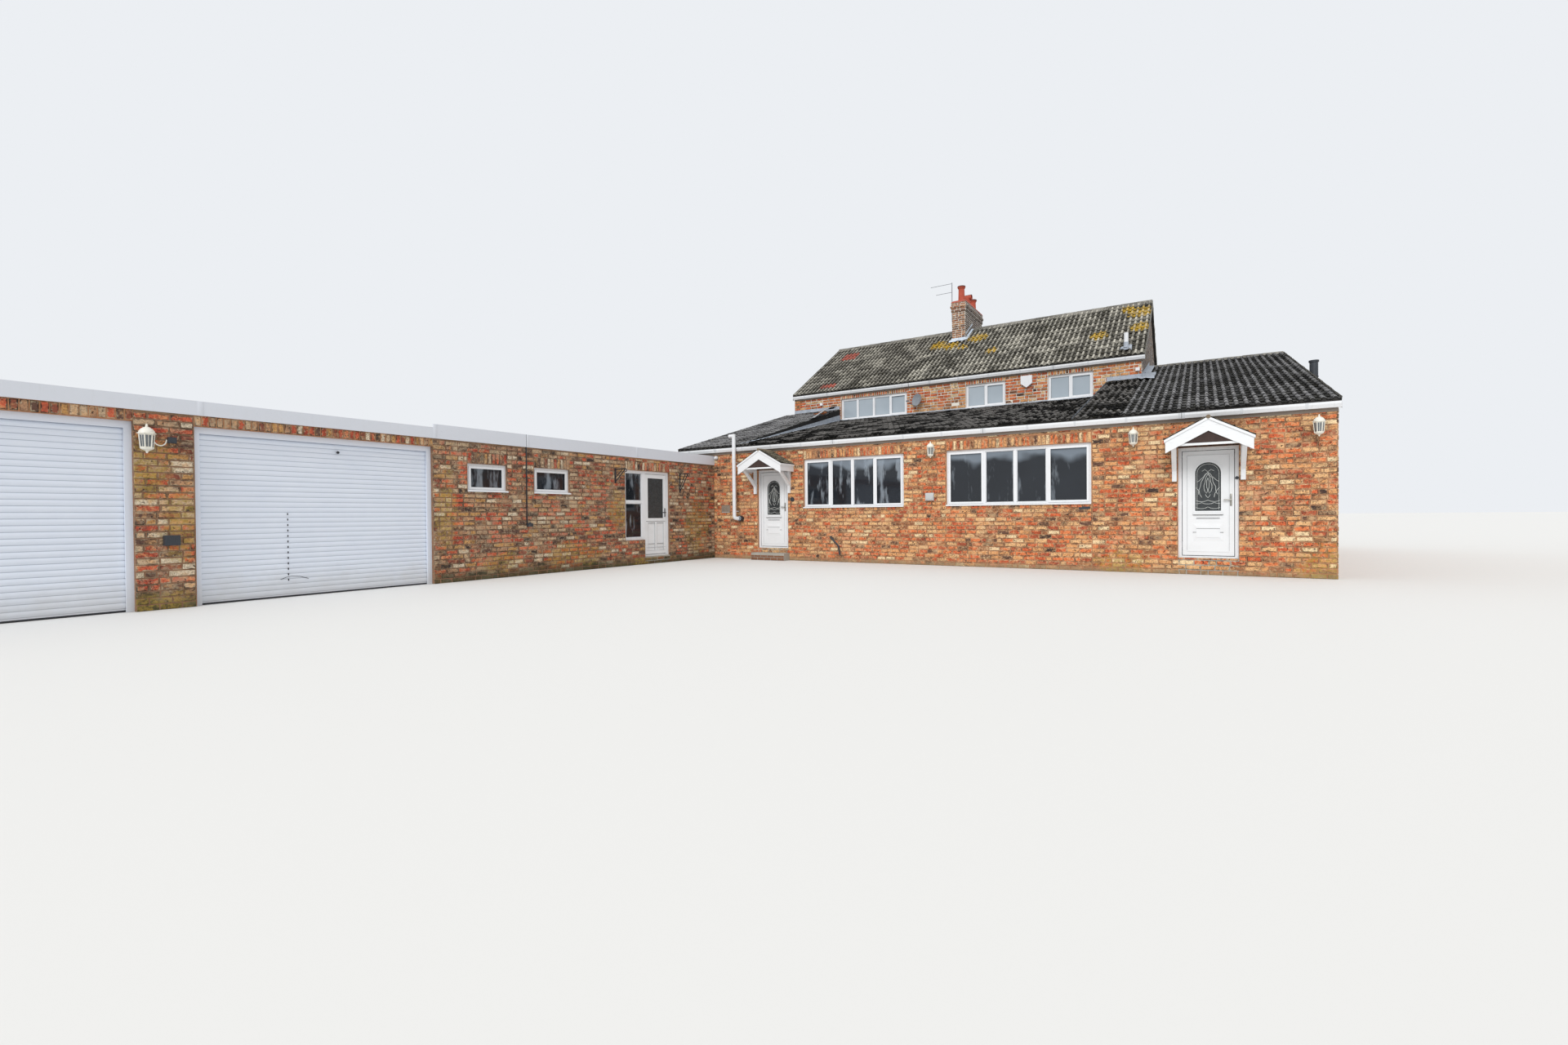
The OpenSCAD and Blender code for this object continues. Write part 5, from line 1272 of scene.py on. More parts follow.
# Patches of yellow lichen on the main roof as (x, y, radius), and red tiles as (x0, x1, y0, y1)
MAIN_LICHEN = [(3.62, 8.43, 0.36), (4.1, 8.25, 0.34), (4.95, 8.62, 0.38), (5.74, 7.36, 0.22),
               (8.93, 7.35, 0.3), (9.95, 8.75, 0.42), (10.03, 7.6, 0.34), (4.6, 8.0, 0.2), (9.6, 9.1, 0.25)]
RED_TILES = [(-0.3, 0.4, 8.4, 8.95), (0.0, 0.6, 5.95, 6.35)]
DARK_BATCH_X = 3.34


class FARMHOUSE_OT_surfaces(Operator):
    """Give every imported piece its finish"""

    bl_idname = "farmhouse.surfaces"
    bl_label = "Surfaces"

    def execute(self, context):
        made = {}
        for part in frame["record"]["subparts"]:
            slot = part["material_slot"]
            if slot not in made:
                make, *words = NODE_FINISHES[slot]
                made[slot] = make(*words)
            materials = frame["nodes"][part["node"]].data.materials
            if not materials:
                materials.append(made[slot])
            for i in range(len(materials)):
                materials[i] = made[slot]
        return {"FINISHED"}


def join(name, parts):
    """Joins pieces into the first of them."""
    bpy.ops.object.select_all(action="DESELECT")
    for part in parts:
        part.select_set(True)
    bpy.context.view_layer.objects.active = parts[0]
    bpy.ops.object.join()
    parts[0].name = name


class FARMHOUSE_OT_brickwork(Operator):
    """Lay the bricks of every outer wall and of the chimney"""

    bl_idname = "farmhouse.brickwork"
    bl_label = "Brickwork"

    def execute(self, context):
        sizes = context.scene.farmhouse_bricks
        house = brick_finish("house_bricks", HOUSE_MIX, (252, 222, 176), (160, 114, 74), 0.54, HOUSE_GROWTH,
                             HOUSE_FOOT)
        upper = brick_finish("upper_bricks", HOUSE_MIX, (190, 132, 86), (98, 60, 38), 0.42)
        gable = brick_finish("gable_bricks", GABLE_MIX, (158, 156, 156), (116, 114, 114), 0.6)
        wing = brick_finish("garage_bricks", GARAGE_MIX, (222, 202, 168), (88, 70, 52), 0.55, GARAGE_GROWTH,
                            GARAGE_FOOT)
        stack = brick_finish("stack_bricks", STACK_MIX, (178, 146, 126), (104, 78, 64), 0.3, east_face_shade=STACK_EAST_SHADE)
        jobs = [(wall, sizes.course, upper if wall.name == "brick_main_front" else house, "house_brick")
                for wall in house_walls(sizes)]
        jobs.append((gable_wall(sizes), sizes.course, gable, "cement_brick"))
        jobs += [(wall, sizes.garage_course, wing, "garage_brick") for wall in garage_walls(sizes)]
        for i, (wall, course, material, slot) in enumerate(jobs):
            lay_bricks(wall, sizes, course, material, i + 1)
        join("stack_bricks", [lay_bricks(wall, sizes, sizes.stack_course, stack,
                                         STACK_SEED + i) for i, wall in enumerate(stack_walls())])
        return {"FINISHED"}


class FARMHOUSE_OT_roofs(Operator):
    """Lay the tiles of every slope"""

    bl_idname = "farmhouse.roofs"
    bl_label = "Roof tiles"

    def execute(self, context):
        sizes = context.scene.farmhouse_tiles
        main = tile_finish("main_tiles", (56, 54, 50), (192, 188, 176), 0.4, 0.95, 0.46, MAIN_LICHEN,
                           yard(DARK_BATCH_X, 0).x)
        low = tile_finish("range_tiles", (28, 28, 29), (146, 146, 148), 0.25, 0.4)
        flat = tile_finish("middle_tiles", (2, 2, 3), (108, 106, 104), 0.25, 0.16, 1.6)
        for i, (name, slope) in enumerate(ROOFS.items()):
            on_main = name.startswith("main")
            material = main if on_main else flat if name in FLAT_ROOFS else low
            red = RED_TILES if name == "main_front" else ()
            lay_tiles(f"tiles_{name}", slope, sizes, material, TILE_SEED + i, red)
        lay_ridges(sizes, tile_finish("ridge_tiles", (80, 78, 74), (150, 147, 140), 0.2, 0.4))
        return {"FINISHED"}


# Leadwork and the chimney's top

TILE_TOP = 0.078
PLACE_NOISE, FINE_NOISE = 9, 23
OFF_WALL, EAVES, LEAD_STEP = 0.014, 0.06, 0.05
VENT = (9.77, 6.18)
VENT_COLLAR = [(0.085, 0.05), (0.066, 0.1), (0.064, 0.2), (0.058, 0.205)]
# The lead that the wind has lifted beside the left valley, from the yard corner
LIFTED_X, LIFTED_Y, LIFTED_LENGTH, LIFTED_STEPS = 0.9, 3.95, 1.62, 30
# How high it rises over the tiles, over how much of a half turn, and how it bends
LIFTED_RISE, LIFTED_TURN, LIFTED_BEND = 0.15, 2.1, 1.5
BATTENS, BATTEN_SEED = 16, 5
# Where the battens lie, from and to: along X, along Y and over the tiles
BATTEN_X, BATTEN_Y, BATTEN_LIFT = (0.5, 0.86), (4.78, 5.3), (0.06, 0.11)
BATTEN_HALF_LENGTH, BATTEN_HALF_WIDTH, BATTEN_HALF_THICK = (0.03, 0.1), (0.015, 0.03), 0.01
BATTEN_TURN, BATTEN_TILT = (0, 3), (-0.4, 0.4)
# The mortar round the chimney pots as (share of the way in, below the top)
FLAUNCHING = [(0.0, 0.095), (0.06, 0.05), (0.2, 0.012), (0.34, 0.0)]
FLAUNCHING_RIM, FLAUNCHING_TOP = 0.02, 0.004
RIDGE_BED = 0.165
VERGE_OUT, VERGE_UP = 0.006, 0.055
# The ends of the slopes that have a mortared verge: 1 is the right end and -1 the left
VERGES = [("main_front", 1), ("main_back", 1), ("main_front", -1), ("main_back", -1), ("right", 1),
          ("right_back", 1), ("left", -1)]


def lead_rows(start, along, run, out, crumple, columns, rows=4):
    """Rows of points of a crumpled sheet: from its corner, along its length and over its width."""
    found = []
    for j in range(rows + 1):
        places = [start + along * (i / columns) + run * (j / rows) for i in range(columns + 1)]
        found.append([p + out * crumple * (noise.noise(p * PLACE_NOISE) + 0.6 * noise.noise(p * FINE_NOISE))
                      for p in places])
    return found


def on_slope(slope, x, y, above):
    """A place over a slope, given along X and Y in the model's frame."""
    return Vector((x, y, slope.height(y) + above))


def wall_apron(kit, slope, x0, x1, down, up, above=TILE_TOP):
    """Lead dressed over the top of a slope and turned up the main wall."""
    foot = on_slope(slope, x0, MAIN_Y - down, above)
    bend = on_slope(slope, x0, MAIN_Y - OFF_WALL, above)
    wide = EAST * (x1 - x0)
    columns = round(wide.length / LEAD_STEP)
    kit.sheet(lead_rows(foot, wide, bend - foot, UP, 0.014, columns))
    kit.sheet(lead_rows(bend, wide, UP * up, SOUTH, 0.004, columns, 2))


def side_lead(kit, slope, x, y0, y1, wide, up, crumple, above=TILE_TOP):
    """Lead along the foot of a wall that stands on a slope. wide is signed along X."""
    gap = math.copysign(0.013, wide)
    start = on_slope(slope, x + gap, y0, above)
    along = on_slope(slope, x + gap, y1, above) - start
    columns = round(along.length / LEAD_STEP)
    kit.sheet(lead_rows(start, along, EAST * wide, UP, crumple, columns))
    kit.sheet(lead_rows(start, along, UP * up, EAST * math.copysign(1, wide), 0.004, columns, 2))


# How finely the lead on the sides of the steps is drawn
CHEEK_COLUMNS, CHEEK_ROWS = 90, 4


def cheek(kit, x, out, lower, upper, start=0.0, end=1.0, away=0.008):
    """A sheet on the side of a step between two slopes, from one share of its height to another."""
    y0, y1 = CORNER.y - EAVES, MAIN_Y
    sheet = [[] for _ in range(CHEEK_ROWS + 1)]
    for i in range(CHEEK_COLUMNS + 1):
        y = y0 + (y1 - y0) * i / CHEEK_COLUMNS
        low, high = lower.height(y) + 0.02, upper.height(y) + TILE_TOP * 0.6
        for j, row in enumerate(sheet):
            share = start + (end - start) * j / CHEEK_ROWS
            p = Vector((x, y, low + (high - low) * share)) + out * away
            row.append(p + out * 0.012 * noise.noise(p * PLACE_NOISE))
    kit.sheet(sheet)


class FARMHOUSE_OT_leadwork(Operator):
    """Dress the lead over the tiles, against the walls and round the chimney"""

    bl_idname = "farmhouse.leadwork"
    bl_label = "Leadwork"

    def execute(self, context):
        kit = Kit()
        left, middle, right = ROOFS["left"], ROOFS["middle"], ROOFS["right"]
        wall_apron(kit, left, LEFT_X, left.x1, down=0.14, up=0.1)
        wall_apron(kit, middle, middle.x0, middle.x1, down=0.2, up=0.02, above=0.062)
        wall_apron(kit, right, middle.x1, MAIN_X + 0.02, down=0.16, up=0.1)
        crest = right.high_y - 0.12
        side_lead(kit, right, MAIN_X, MAIN_Y - 0.16, crest, wide=0.15, up=0.13, crumple=0.016)
        side_lead(kit, right, MAIN_X - 0.1, MAIN_Y - 0.42, MAIN_Y + 0.75, wide=0.4, up=0.02, crumple=0.06,
                  above=TILE_TOP + 0.02)
        side_lead(kit, ROOFS["right_back"], MAIN_X, crest + 0.24, BACK_Y, wide=0.15, up=0.13, crumple=0.016)
        cheek(kit, middle.x0, EAST, middle, left, end=0.55, away=0.02)
        cheek(kit, middle.x1, WEST, middle, right)
        foot = on_slope(middle, middle.x0 + 0.02, CORNER.y - EAVES, 0.07)
        along = on_slope(middle, middle.x0 + 0.02, MAIN_Y, 0.07) - foot
        kit.sheet(lead_rows(foot, along, EAST * 0.1, UP, 0.016, 90))
        self.vent(kit)
        kit.done("lead_sheets", lead_finish(), "lead", replaces=["lead_flashings"])
        self.stack()
        self.lifted(left)
        self.battens(left)
        return {"FINISHED"}

    def vent(self, kit):
        """A lead slate and its collar round the vent pipe."""
        slope, middle = ROOFS["main_front"], yard(*VENT)
        half, down, up, above = 0.14, 0.15, 0.1, 0.085
        start = on_slope(slope, middle.x - half, middle.y - down, above)
        uphill = on_slope(slope, start.x, middle.y + up, above) - start
        kit.sheet(lead_rows(start, EAST * (2 * half), uphill, UP, 0.06, 12, 12))
        kit.lathe(on_slope(slope, middle.x, middle.y, 0.02), VENT_COLLAR)

    def stack(self):
        """The apron in front of the chimney and the strips up its sides."""
        kit, slope = Kit(), ROOFS["main_front"]
        x0, x1, y0, _ = stack_shaft()
        over, above, tuck = 0.1, 0.1, 0.08
        foot = on_slope(slope, x0 - over, y0 - 0.13, above)
        bend = on_slope(slope, x0 - over, y0 - OFF_WALL, above)
        wide = EAST * (x1 - x0 + 2 * over)
        kit.sheet(lead_rows(foot, wide, bend - foot, UP, 0.03, 14))
        kit.sheet(lead_rows(bend + EAST * tuck, wide - EAST * (2 * tuck), UP * 0.06, SOUTH, 0.006, 14, 2))
        crest = slope.high_y - 0.13
        for x, side in ((x1, 1), (x0, -1)):
            side_lead(kit, slope, x, y0, crest, wide=0.06 * side, up=0.04, crumple=0.01, above=0.09)
            strip = on_slope(slope, x + 0.018 * side, y0 - 0.02, 0.23)
            along = on_slope(slope, strip.x, crest, 0.23) - strip
            kit.sheet(lead_rows(strip, along, UP * 0.07, EAST, 0.005, 20, 2))
        kit.done("stack_lead", lead_finish("stack_lead", (176, 190, 206), (222, 229, 236)), "lead")

    def lifted(self, slope):
        """The lifted strip at the step of the roofs, and dark sheets of painted shade under it and on the
        upper half of the step's side.
        """
        edge = yard(LIFTED_X, 0).x
        lead, dark = Kit(), Kit()
        # Painted shade over the upper half of the step's side, under the overhanging tiles
        cheek(dark, slope.x1, EAST, ROOFS["middle"], slope, start=0.5, away=0.006)
        # The lead strip, and a dark sheet of painted shadow just below it
        for kit, wide, drop in ((lead, 0.15, 0.0), (dark, 0.13, 0.03)):
            rows = [[], [], []]
            for i in range(LIFTED_STEPS + 1):
                t = i / LIFTED_STEPS
                y = yard(0, LIFTED_Y + LIFTED_LENGTH * t).y
                lift = TILE_TOP + 0.02 + LIFTED_RISE * math.sin(t * LIFTED_TURN) ** LIFTED_BEND - drop
                for j, row in enumerate(rows):
                    p = on_slope(slope, edge + 0.05 - wide * j / 2, y, lift - 0.02 * j)
                    row.append(p + UP * 0.02 * noise.noise(p * PLACE_NOISE))
            kit.sheet(rows)
        torn = lead_finish("lifted_lead", (120, 122, 126), (188, 190, 192))
        lead.done("lifted_lead", torn, "lead", thick=0.006)
        dark.done("lifted_strip_shadow", painted("deep_shade"), "lead")

    def battens(self, slope):
        """Broken battens strewn on the tiles beside the lifted lead."""
        kit, rng = Kit(), random.Random(BATTEN_SEED)
        for _ in range(BATTENS):
            place = yard(rng.uniform(*BATTEN_X), rng.uniform(*BATTEN_Y))
            place.z = slope.height(place.y) + rng.uniform(*BATTEN_LIFT)
            half = Vector((rng.uniform(*BATTEN_HALF_LENGTH), rng.uniform(*BATTEN_HALF_WIDTH),
                           BATTEN_HALF_THICK))
            turn = Matrix.Rotation(rng.uniform(*BATTEN_TURN), 4, "Z")
            turn = turn @ Matrix.Rotation(rng.uniform(*BATTEN_TILT), 4, "Y")
            kit.box(place - half, place + half, 0.003, turn)
        kit.done("broken_battens", painted("rotten_wood"), "range_tiles")


class FARMHOUSE_OT_chimney(Operator):
    """Add the sloped mortar round the pots and under the ridge tiles"""

    bl_idname = "farmhouse.chimney"
    bl_label = "Chimney top and ridge mortar"

    def execute(self, context):
        self.flaunching()
        bed = Kit()
        for low, high in solid_boxes("ridge_tiles"):
            middle, long = (low[1] + high[1]) / 2, high[0] - low[0]
            for side in (-1, 1):
                start = Vector((low[0], middle + side * RIDGE_BED, high[2] - RIDGE_BED))
                run = Vector((0, -side * 0.07, 0.075))
                bed.sheet(lead_rows(start, EAST * long, run, UP, 0.02, round(long / 0.07), 3))
        for name, side in VERGES:
            slope = ROOFS[name]
            end = slope.x1 if side > 0 else slope.x0
            start = on_slope(slope, end + VERGE_OUT * side, slope.low_y, -slope.thick)
            bed.sheet(lead_rows(start, slope.rise(), UP * (slope.thick + VERGE_UP), EAST, 0.012, 60, 3))
        bed.done("ridge_mortar", painted("ridge_mortar"), "ridge_clay")
        return {"FINISHED"}

    def flaunching(self):
        """The mortar cap that slopes from the stack's rim to the pots."""
        low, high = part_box("chimney_stack")
        x0, y0, x1, y1 = (low.x + FLAUNCHING_RIM, low.y + FLAUNCHING_RIM, high.x - FLAUNCHING_RIM,
                          high.y - FLAUNCHING_RIM)
        middle = ((low.x + high.x) / 2, (low.y + high.y) / 2)
        rows = []
        for share, below in FLAUNCHING:
            z = high.z + FLAUNCHING_TOP - below
            rows.append([Vector((x + (middle[0] - x) * share,
                                 y - math.copysign(share * 0.5, y - middle[1]), z))
                         for x, y in ((x0, y0), (x1, y0), (x1, y1), (x0, y1))])
        kit = Kit()
        kit.sheet([[*row, row[0]] for row in rows])
        kit.sheet([rows[-1][:2], [rows[-1][3], rows[-1][2]]])
        kit.done("flaunching", painted("red_mortar"), "red_clay")


# Joinery

# Round each pane as (in from its edge, width, depth, rounding)
BEAD = (0.0, 0.016, 0.013, 0.003)
SEAL = (0.016, 0.006, 0.004, 0.0)
THIN_PANE = 0.1


def facing(low, high):
    """Which way a pane looks, from its thin side and its place."""
    if high[0] - low[0] < THIN_PANE:
        return EAST
    return NORTH if low[1] > MAIN_Y + 1 else SOUTH


class FARMHOUSE_OT_windows(Operator):
    """Add the beads and rubber seals round every pane"""

    bl_idname = "farmhouse.windows"
    bl_label = "Window beads"

    def execute(self, context):
        beads, seals = Kit(), Kit()
        for low, high in solid_boxes("window_glass"):
            out = facing(low, high)
            u, n = (1, 0) if out.x else (0, 1)
            front = high[n] if out[n] > 0 else low[n]
            for kit, (edge, width, depth, bevel) in ((beads, BEAD), (seals, SEAL)):
                a, b = low[u] + edge, high[u] - edge
                c, d = low[2] + edge, high[2] - edge
                for u0, u1, z0, z1 in ((a, b, c, c + width), (a, b, d - width, d), (a, a + width, c, d),
                                       (b - width, b, c, d)):
                    corners = [Vector((0, 0, z0)), Vector((0, 0, z1))]
                    for corner, along, away in zip(corners, (u0, u1), (0, depth * out[n])):
                        corner[u] = along
                        corner[n] = front + away
                    kit.box(*corners, bevel=bevel)
        beads.done("window_beads", plastic("bead_plastic"), "white_plastic")
        seals.done("window_seals", painted("rubber"), "white_plastic")
        return {"FINISHED"}


# The leaded lines of the arched door glass, from -1 to 1 across and 0 to 1 up
CAMES = [
    [(-0.9, 0.6), (-0.55, 0.66), (-0.2, 0.76), (0, 0.8), (0.2, 0.76), (0.55, 0.66), (0.9, 0.6)],
    [(-0.5, 0.82), (-0.25, 0.86), (0, 0.81), (0.25, 0.86), (0.5, 0.82)],
    [(0, 0.79), (-0.35, 0.68), (-0.62, 0.5), (-0.76, 0.34)],
    [(0, 0.79), (0.35, 0.68), (0.62, 0.5), (0.76, 0.34)],
    [(0, 0.76), (-0.22, 0.6), (-0.32, 0.46), (-0.12, 0.36), (0, 0.48), (0.12, 0.36), (0.32, 0.46),
     (0.22, 0.6), (0, 0.76)],
    [(0, 0.68), (-0.1, 0.54), (0, 0.42), (0.1, 0.54), (0, 0.68)], [(-0.2, 0.34), (0, 0.27), (0.2, 0.34)],
    [(-0.95, 0.48), (-0.72, 0.42), (-0.5, 0.28)], [(0.95, 0.48), (0.72, 0.42), (0.5, 0.28)],
    [(-0.97, 0.215), (-0.5, 0.19), (0, 0.22), (0.5, 0.19), (0.97, 0.215)],
    [(-0.97, 0.15), (-0.5, 0.17), (0, 0.14), (0.5, 0.17), (0.97, 0.15)],
    [(-0.97, 0.07), (-0.5, 0.045), (0, 0.08), (0.5, 0.045), (0.97, 0.07)],
]
CAME_BORDER, CAME_FOOT = 0.03, 0.02
CAME_RADIUS, BORDER_RADIUS = 0.0034, 0.003
# How far the outer face of a leaf lies behind the wall's face
LEAF_Y = 0.06
# Shades on a front leaf: its rim as (x0, x1, z0, z1), and the mouldings as (z, half length, out)
LEAF_RIM = [(0.143, 0.149, 0.14, 1.92), (0.801, 0.807, 0.14, 1.92), (0.143, 0.807, 1.914, 1.92)]
LEAF_MOULDINGS = [(0.481, 0.24, 0.011), (0.549, 0.184, 0.0155), (0.745, 0.184, 0.0155),
                  (0.813, 0.24, 0.011), (0.81, 0.235, 0.026)]
LEAF_MIDDLE = 0.475
# The two low panels of the side leaf as (x0, x1), their foot and top, and its lower cross lines
SIDE_PANELS = [(0.165, 0.412), (0.472, 0.719)]
PANEL_Z = (0.143, 0.818)
# Across each low panel and under the glass: lines of shade as (foot, top)
PANEL_LINES, GLASS_LINE = [(0.818, 0.829), (0.296, 0.304)], (0.857, 0.868)
SIDE_RAILS = (0.209, 0.132)
SIDE_X = (0.1, 0.78)
# The handle from the lock side of the frame, and its height
LEVER_IN, LEVER_Z = 0.12, 1.08
LEVER_NECK = [(0.011, 0.0), (0.011, 0.046)]
LEVER_LOCK = [(0.0, 0.006), (0.007, 0.005), (0.008, 0.0)]


class FARMHOUSE_OT_doors(Operator):
    """Add the leaded lines, the shaded mouldings and the handles of the hinged doors"""

    bl_idname = "farmhouse.doors"
    bl_label = "Door glass and handles"

    def execute(self, context):
        side, *fronts = solid_boxes("door_frames")
        for label, (low, high) in zip(("left", "right"), fronts):
            at = Matrix.Translation((low[0], CORNER.y, low[2]))
            self.cames(label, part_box(f"{label}_door_glass"))
            self.shades(label, at)
            self.lever(label, at, high[0] - low[0], "lever_chrome")
        at = Matrix.Translation((CORNER.x, side[0][1], side[0][2])) @ Matrix.Rotation(math.pi / 2, 4, "Z")
        self.lever("side", at, side[1][1] - side[0][1], "lever_black")
        self.panel_shades(at)
        return {"FINISHED"}

    def panel_shades(self, at):
        """The lines of shade round the side door's low panels, below its glass and near its foot."""
        kit, rim, y = Kit(at), Kit(at), LEAF_Y
        low, high = PANEL_Z
        for x0, x1 in SIDE_PANELS:
            for foot, top in PANEL_LINES:
                kit.box((x0, y + 0.001, foot), (x1, y + 0.013, top))
            rim.box((x0, y + 0.001, low), (x0 + 0.009, y + 0.013, high))
            rim.box((x1 - 0.009, y + 0.001, low), (x1, y + 0.013, high))
        x0, x1 = SIDE_X
        for z in SIDE_RAILS:
            rim.box((x0, y - 0.0025, z - 0.004), (x1, y + 0.012, z + 0.004))
        kit.box((x0, y - 0.0025, GLASS_LINE[0]), (x1, y + 0.002, GLASS_LINE[1]))
        kit.done("side_door_shades", painted("moulding_shade"), "door_skin", "side_leaf")
        rim.done("side_door_rims", painted("moulding_faint"), "door_skin", "side_leaf")

    def cames(self, label, box):
        """Thin raised lines on the front of the arched glass."""
        low, high = box
        half, tall, y = (high.x - low.x) / 2, high.z - low.z, low.y - 0.0005
        kit = Kit()
        for line in CAMES:
            path = [Vector((low.x + half * (1 + u * 0.96), y, low.z + tall * v)) for u, v in line]
            smooth = []
            for a, b in zip(path, path[1:]):
                smooth += [a, (a + b) / 2 + (b - a).cross(SOUTH) * 0.08]
            kit.bar([*smooth, path[-1]], CAME_RADIUS, 6)
        head = arc((low.x + half, y, high.z - half), half - CAME_BORDER, 180, 0, 16)
        foot = low.z + CAME_FOOT
        kit.bar([(low.x + CAME_BORDER, y, foot), *head, (high.x - CAME_BORDER, y, foot)], BORDER_RADIUS, 6)
        kit.done(f"{label}_door_cames", painted("door_came"), "door_glass", f"{label}_leaf")

    def shades(self, label, at):
        """The lines of shade along the mouldings of a front door."""
        kit, rim, y = Kit(at), Kit(at), LEAF_Y
        for x0, x1, z0, z1 in LEAF_RIM:
            rim.box((x0, y - 0.0085, z0), (x1, y - 0.001, z1))
        rim.done(f"{label}_door_rims", painted("moulding_faint"), "door_skin", f"{label}_leaf")
        for z, half, out in LEAF_MOULDINGS:
            x0, x1, front = LEAF_MIDDLE - half, LEAF_MIDDLE + half, y - out
            kit.box((x0, front, z - 0.006), (x1, front + 0.007, z + 0.003), 0.001)
        kit.done(f"{label}_door_shades", painted("moulding_shade"), "door_skin", f"{label}_leaf")

    def lever(self, label, at, width, paint_name):
        """The handle's plate, neck, arm and lock, on the outer face of the leaf."""
        kit, x, y, z = Kit(at), width - LEVER_IN, LEAF_Y, LEVER_Z
        kit.box((x - 0.0155, y - 0.0105, z - 0.1115), (x + 0.0155, y - 0.002, z + 0.1115), 0.003)
        kit.lathe((x, y, z), LEVER_NECK, SOUTH, 16)
        kit.box((x - 0.112, y - 0.0495, z - 0.0105), (x + 0.0105, y - 0.0345, z + 0.0105), 0.004)
        kit.lathe((x, y - 0.009, z - 0.07), LEVER_LOCK, SOUTH, 16)
        kit.done(f"{label}_door_lever", painted(paint_name), "door_skin", f"{label}_leaf")


CANOPY_SEED = 60
CANOPY_TILE = {"cover": 0.17, "gauge": 0.11, "roll": 0.014, "tail": 0.012}
CANOPY_EAVE_Z = 2.484
# Painted shade: a dark triangle behind the canopy's front boards, in the hollow under the apex: its place,
# half width, foot, top and thickness
APEX_SHADE_Y, APEX_SHADE_HALF, APEX_SHADE_FOOT, APEX_SHADE_TOP, APEX_SHADE_THICK = -0.6205, 0.44, 2.407, 2.655, 0.003
# Painted shadow: a dark strip where the canopy's soffit meets the wall, from its middle and the wall
SOFFIT_SHADOW = ((-0.475, -0.05, 2.381), (0.475, -0.008, 2.40))


class FARMHOUSE_OT_canopies(Operator):
    """Lay small tiles on the two door canopies, and paint shade behind their boards and where they meet the
    wall
    """

    bl_idname = "farmhouse.canopies"
    bl_label = "Canopy tiles"

    def execute(self, context):
        tiles = tile_finish("canopy_tiles", (44, 41, 36), (134, 126, 108), 0.5, 0.3)
        ridges, shade_kit = Kit(), Kit()
        for k, (low, high) in enumerate(solid_boxes("door_canopies")):
            middle, deep = (low[0] + high[0]) / 2, CORNER.y - low[1]
            run = Vector((middle, 0, high[2])) - Vector((low[0], 0, CANOPY_EAVE_Z))
            for side in (1, -1):
                start = Vector((middle - side * run.x, CORNER.y if side > 0 else low[1], CANOPY_EAVE_Z))
                uphill = Vector((run.x * side, 0, run.z)).normalized()
                mesh = tile_field(f"canopy_tiles_{k}", start, SOUTH * side, uphill, deep, run.length,
                                  **CANOPY_TILE, seed=CANOPY_SEED + k)
                piece(f"canopy_tiles_{k}{'lr'[side > 0]}", mesh, tiles)
            ends = (CORNER.y - 0.005, low[1] - 0.004)
            ridges.bar([(middle, y, high[2] - 0.004) for y in ends], 0.036, 14)
            # Painted shade behind the front boards and where the soffit meets the wall
            shade_kit.at = Matrix.Translation((middle, CORNER.y, 0))
            shade_kit.prism([(-APEX_SHADE_HALF, APEX_SHADE_Y, APEX_SHADE_FOOT), (APEX_SHADE_HALF, APEX_SHADE_Y, APEX_SHADE_FOOT),
                          (0, APEX_SHADE_Y, APEX_SHADE_TOP)], (0, -APEX_SHADE_THICK, 0))
            shade_kit.box(*SOFFIT_SHADOW, 0.002)
        ridges.done("canopy_ridges", painted("canopy_ridge"), "painted_timber")
        shade_kit.done("canopy_shade_sheets", painted("canopy_painted_shade"), "painted_timber")
        return {"FINISHED"}


# Fittings

# Lanterns as (x, y, height of the arm, turn of the six faces in degrees)
LANTERNS = [(6.345, -0.15, 2.64, 0), (10.413, -0.15, 2.64, 0), (13.217, -0.15, 2.64, 0),
            (0.11, -11.754, 2.23, 90)]
# Half a lantern's pane: its inner edge and thickness, and its foot and top as (out, half width, height)
PANE_EDGE, PANE_THICK = 0.0035, 0.0012
PANE_FOOT, PANE_TOP = (0.0552, 0.022, -0.115), (0.0644, 0.028, 0.033)
# Gutters: the space between brackets, half the width of a bracket and of a union, and a stop end
GUTTER_STEP, BRACKET_HALF, UNION_HALF, GUTTER_END = 0.95, 0.022, 0.055, 0.006
GUTTER_BREAK_X = 3.48
# Joint covers of the garage's fascia as (y, top)
FASCIA_COVERS = [(-11.19, 2.783), (-7.95, 2.843), (-6.05, 2.843), (-3.0, 2.843)]
FASCIA_FOOT = 2.588
# The second shutter: its knob, a thin dark arc low on it and the slots beside it
KNOB_AT, KNOB = (-0.118, -9.466, 2.227), [(0.0, 0.05), (0.018, 0.046), (0.022, 0.03), (0.012, 0.0)]
LOW_ARC_X = -0.1165
LOW_ARC = [(-10.25, 0.27), (-10.18, 0.3), (-10.11, 0.312), (-10.0, 0.3), (-9.885, 0.256)]
SLOTS, SLOT_FOOT, SLOT_STEP, SLOT_TALL = 13, 0.245, 0.0825, 0.03
SLOT_X, SLOT_Y = (-0.118, -0.1145), (-10.157, -10.143)
# The dark seals under both shutters, along X, up and along Y
SEAL_X, SEAL_Z, SEALS = (-0.135, -0.118), (0.004, 0.024), [(-15.079, -11.899), (-11.209, -8.029)]
# Dark strips on the pier and in the fascia above it as (low, high, rounding)
DARK_STRIPS = [((0.002, -6.092, 1.03), (0.022, -6.07, 2.592), 0.004),
               ((0.02, -6.086, FASCIA_FOOT), (0.0272, -6.076, 2.8435), 0.0)]
BOWL_AT = (0.045, -6.035, 0.985)
DROP_PIPE_BOWL = [(0.012, 0.09), (0.03, 0.06), (0.052, 0.02), (0.058, 0.0), (0.0, 0.004)]
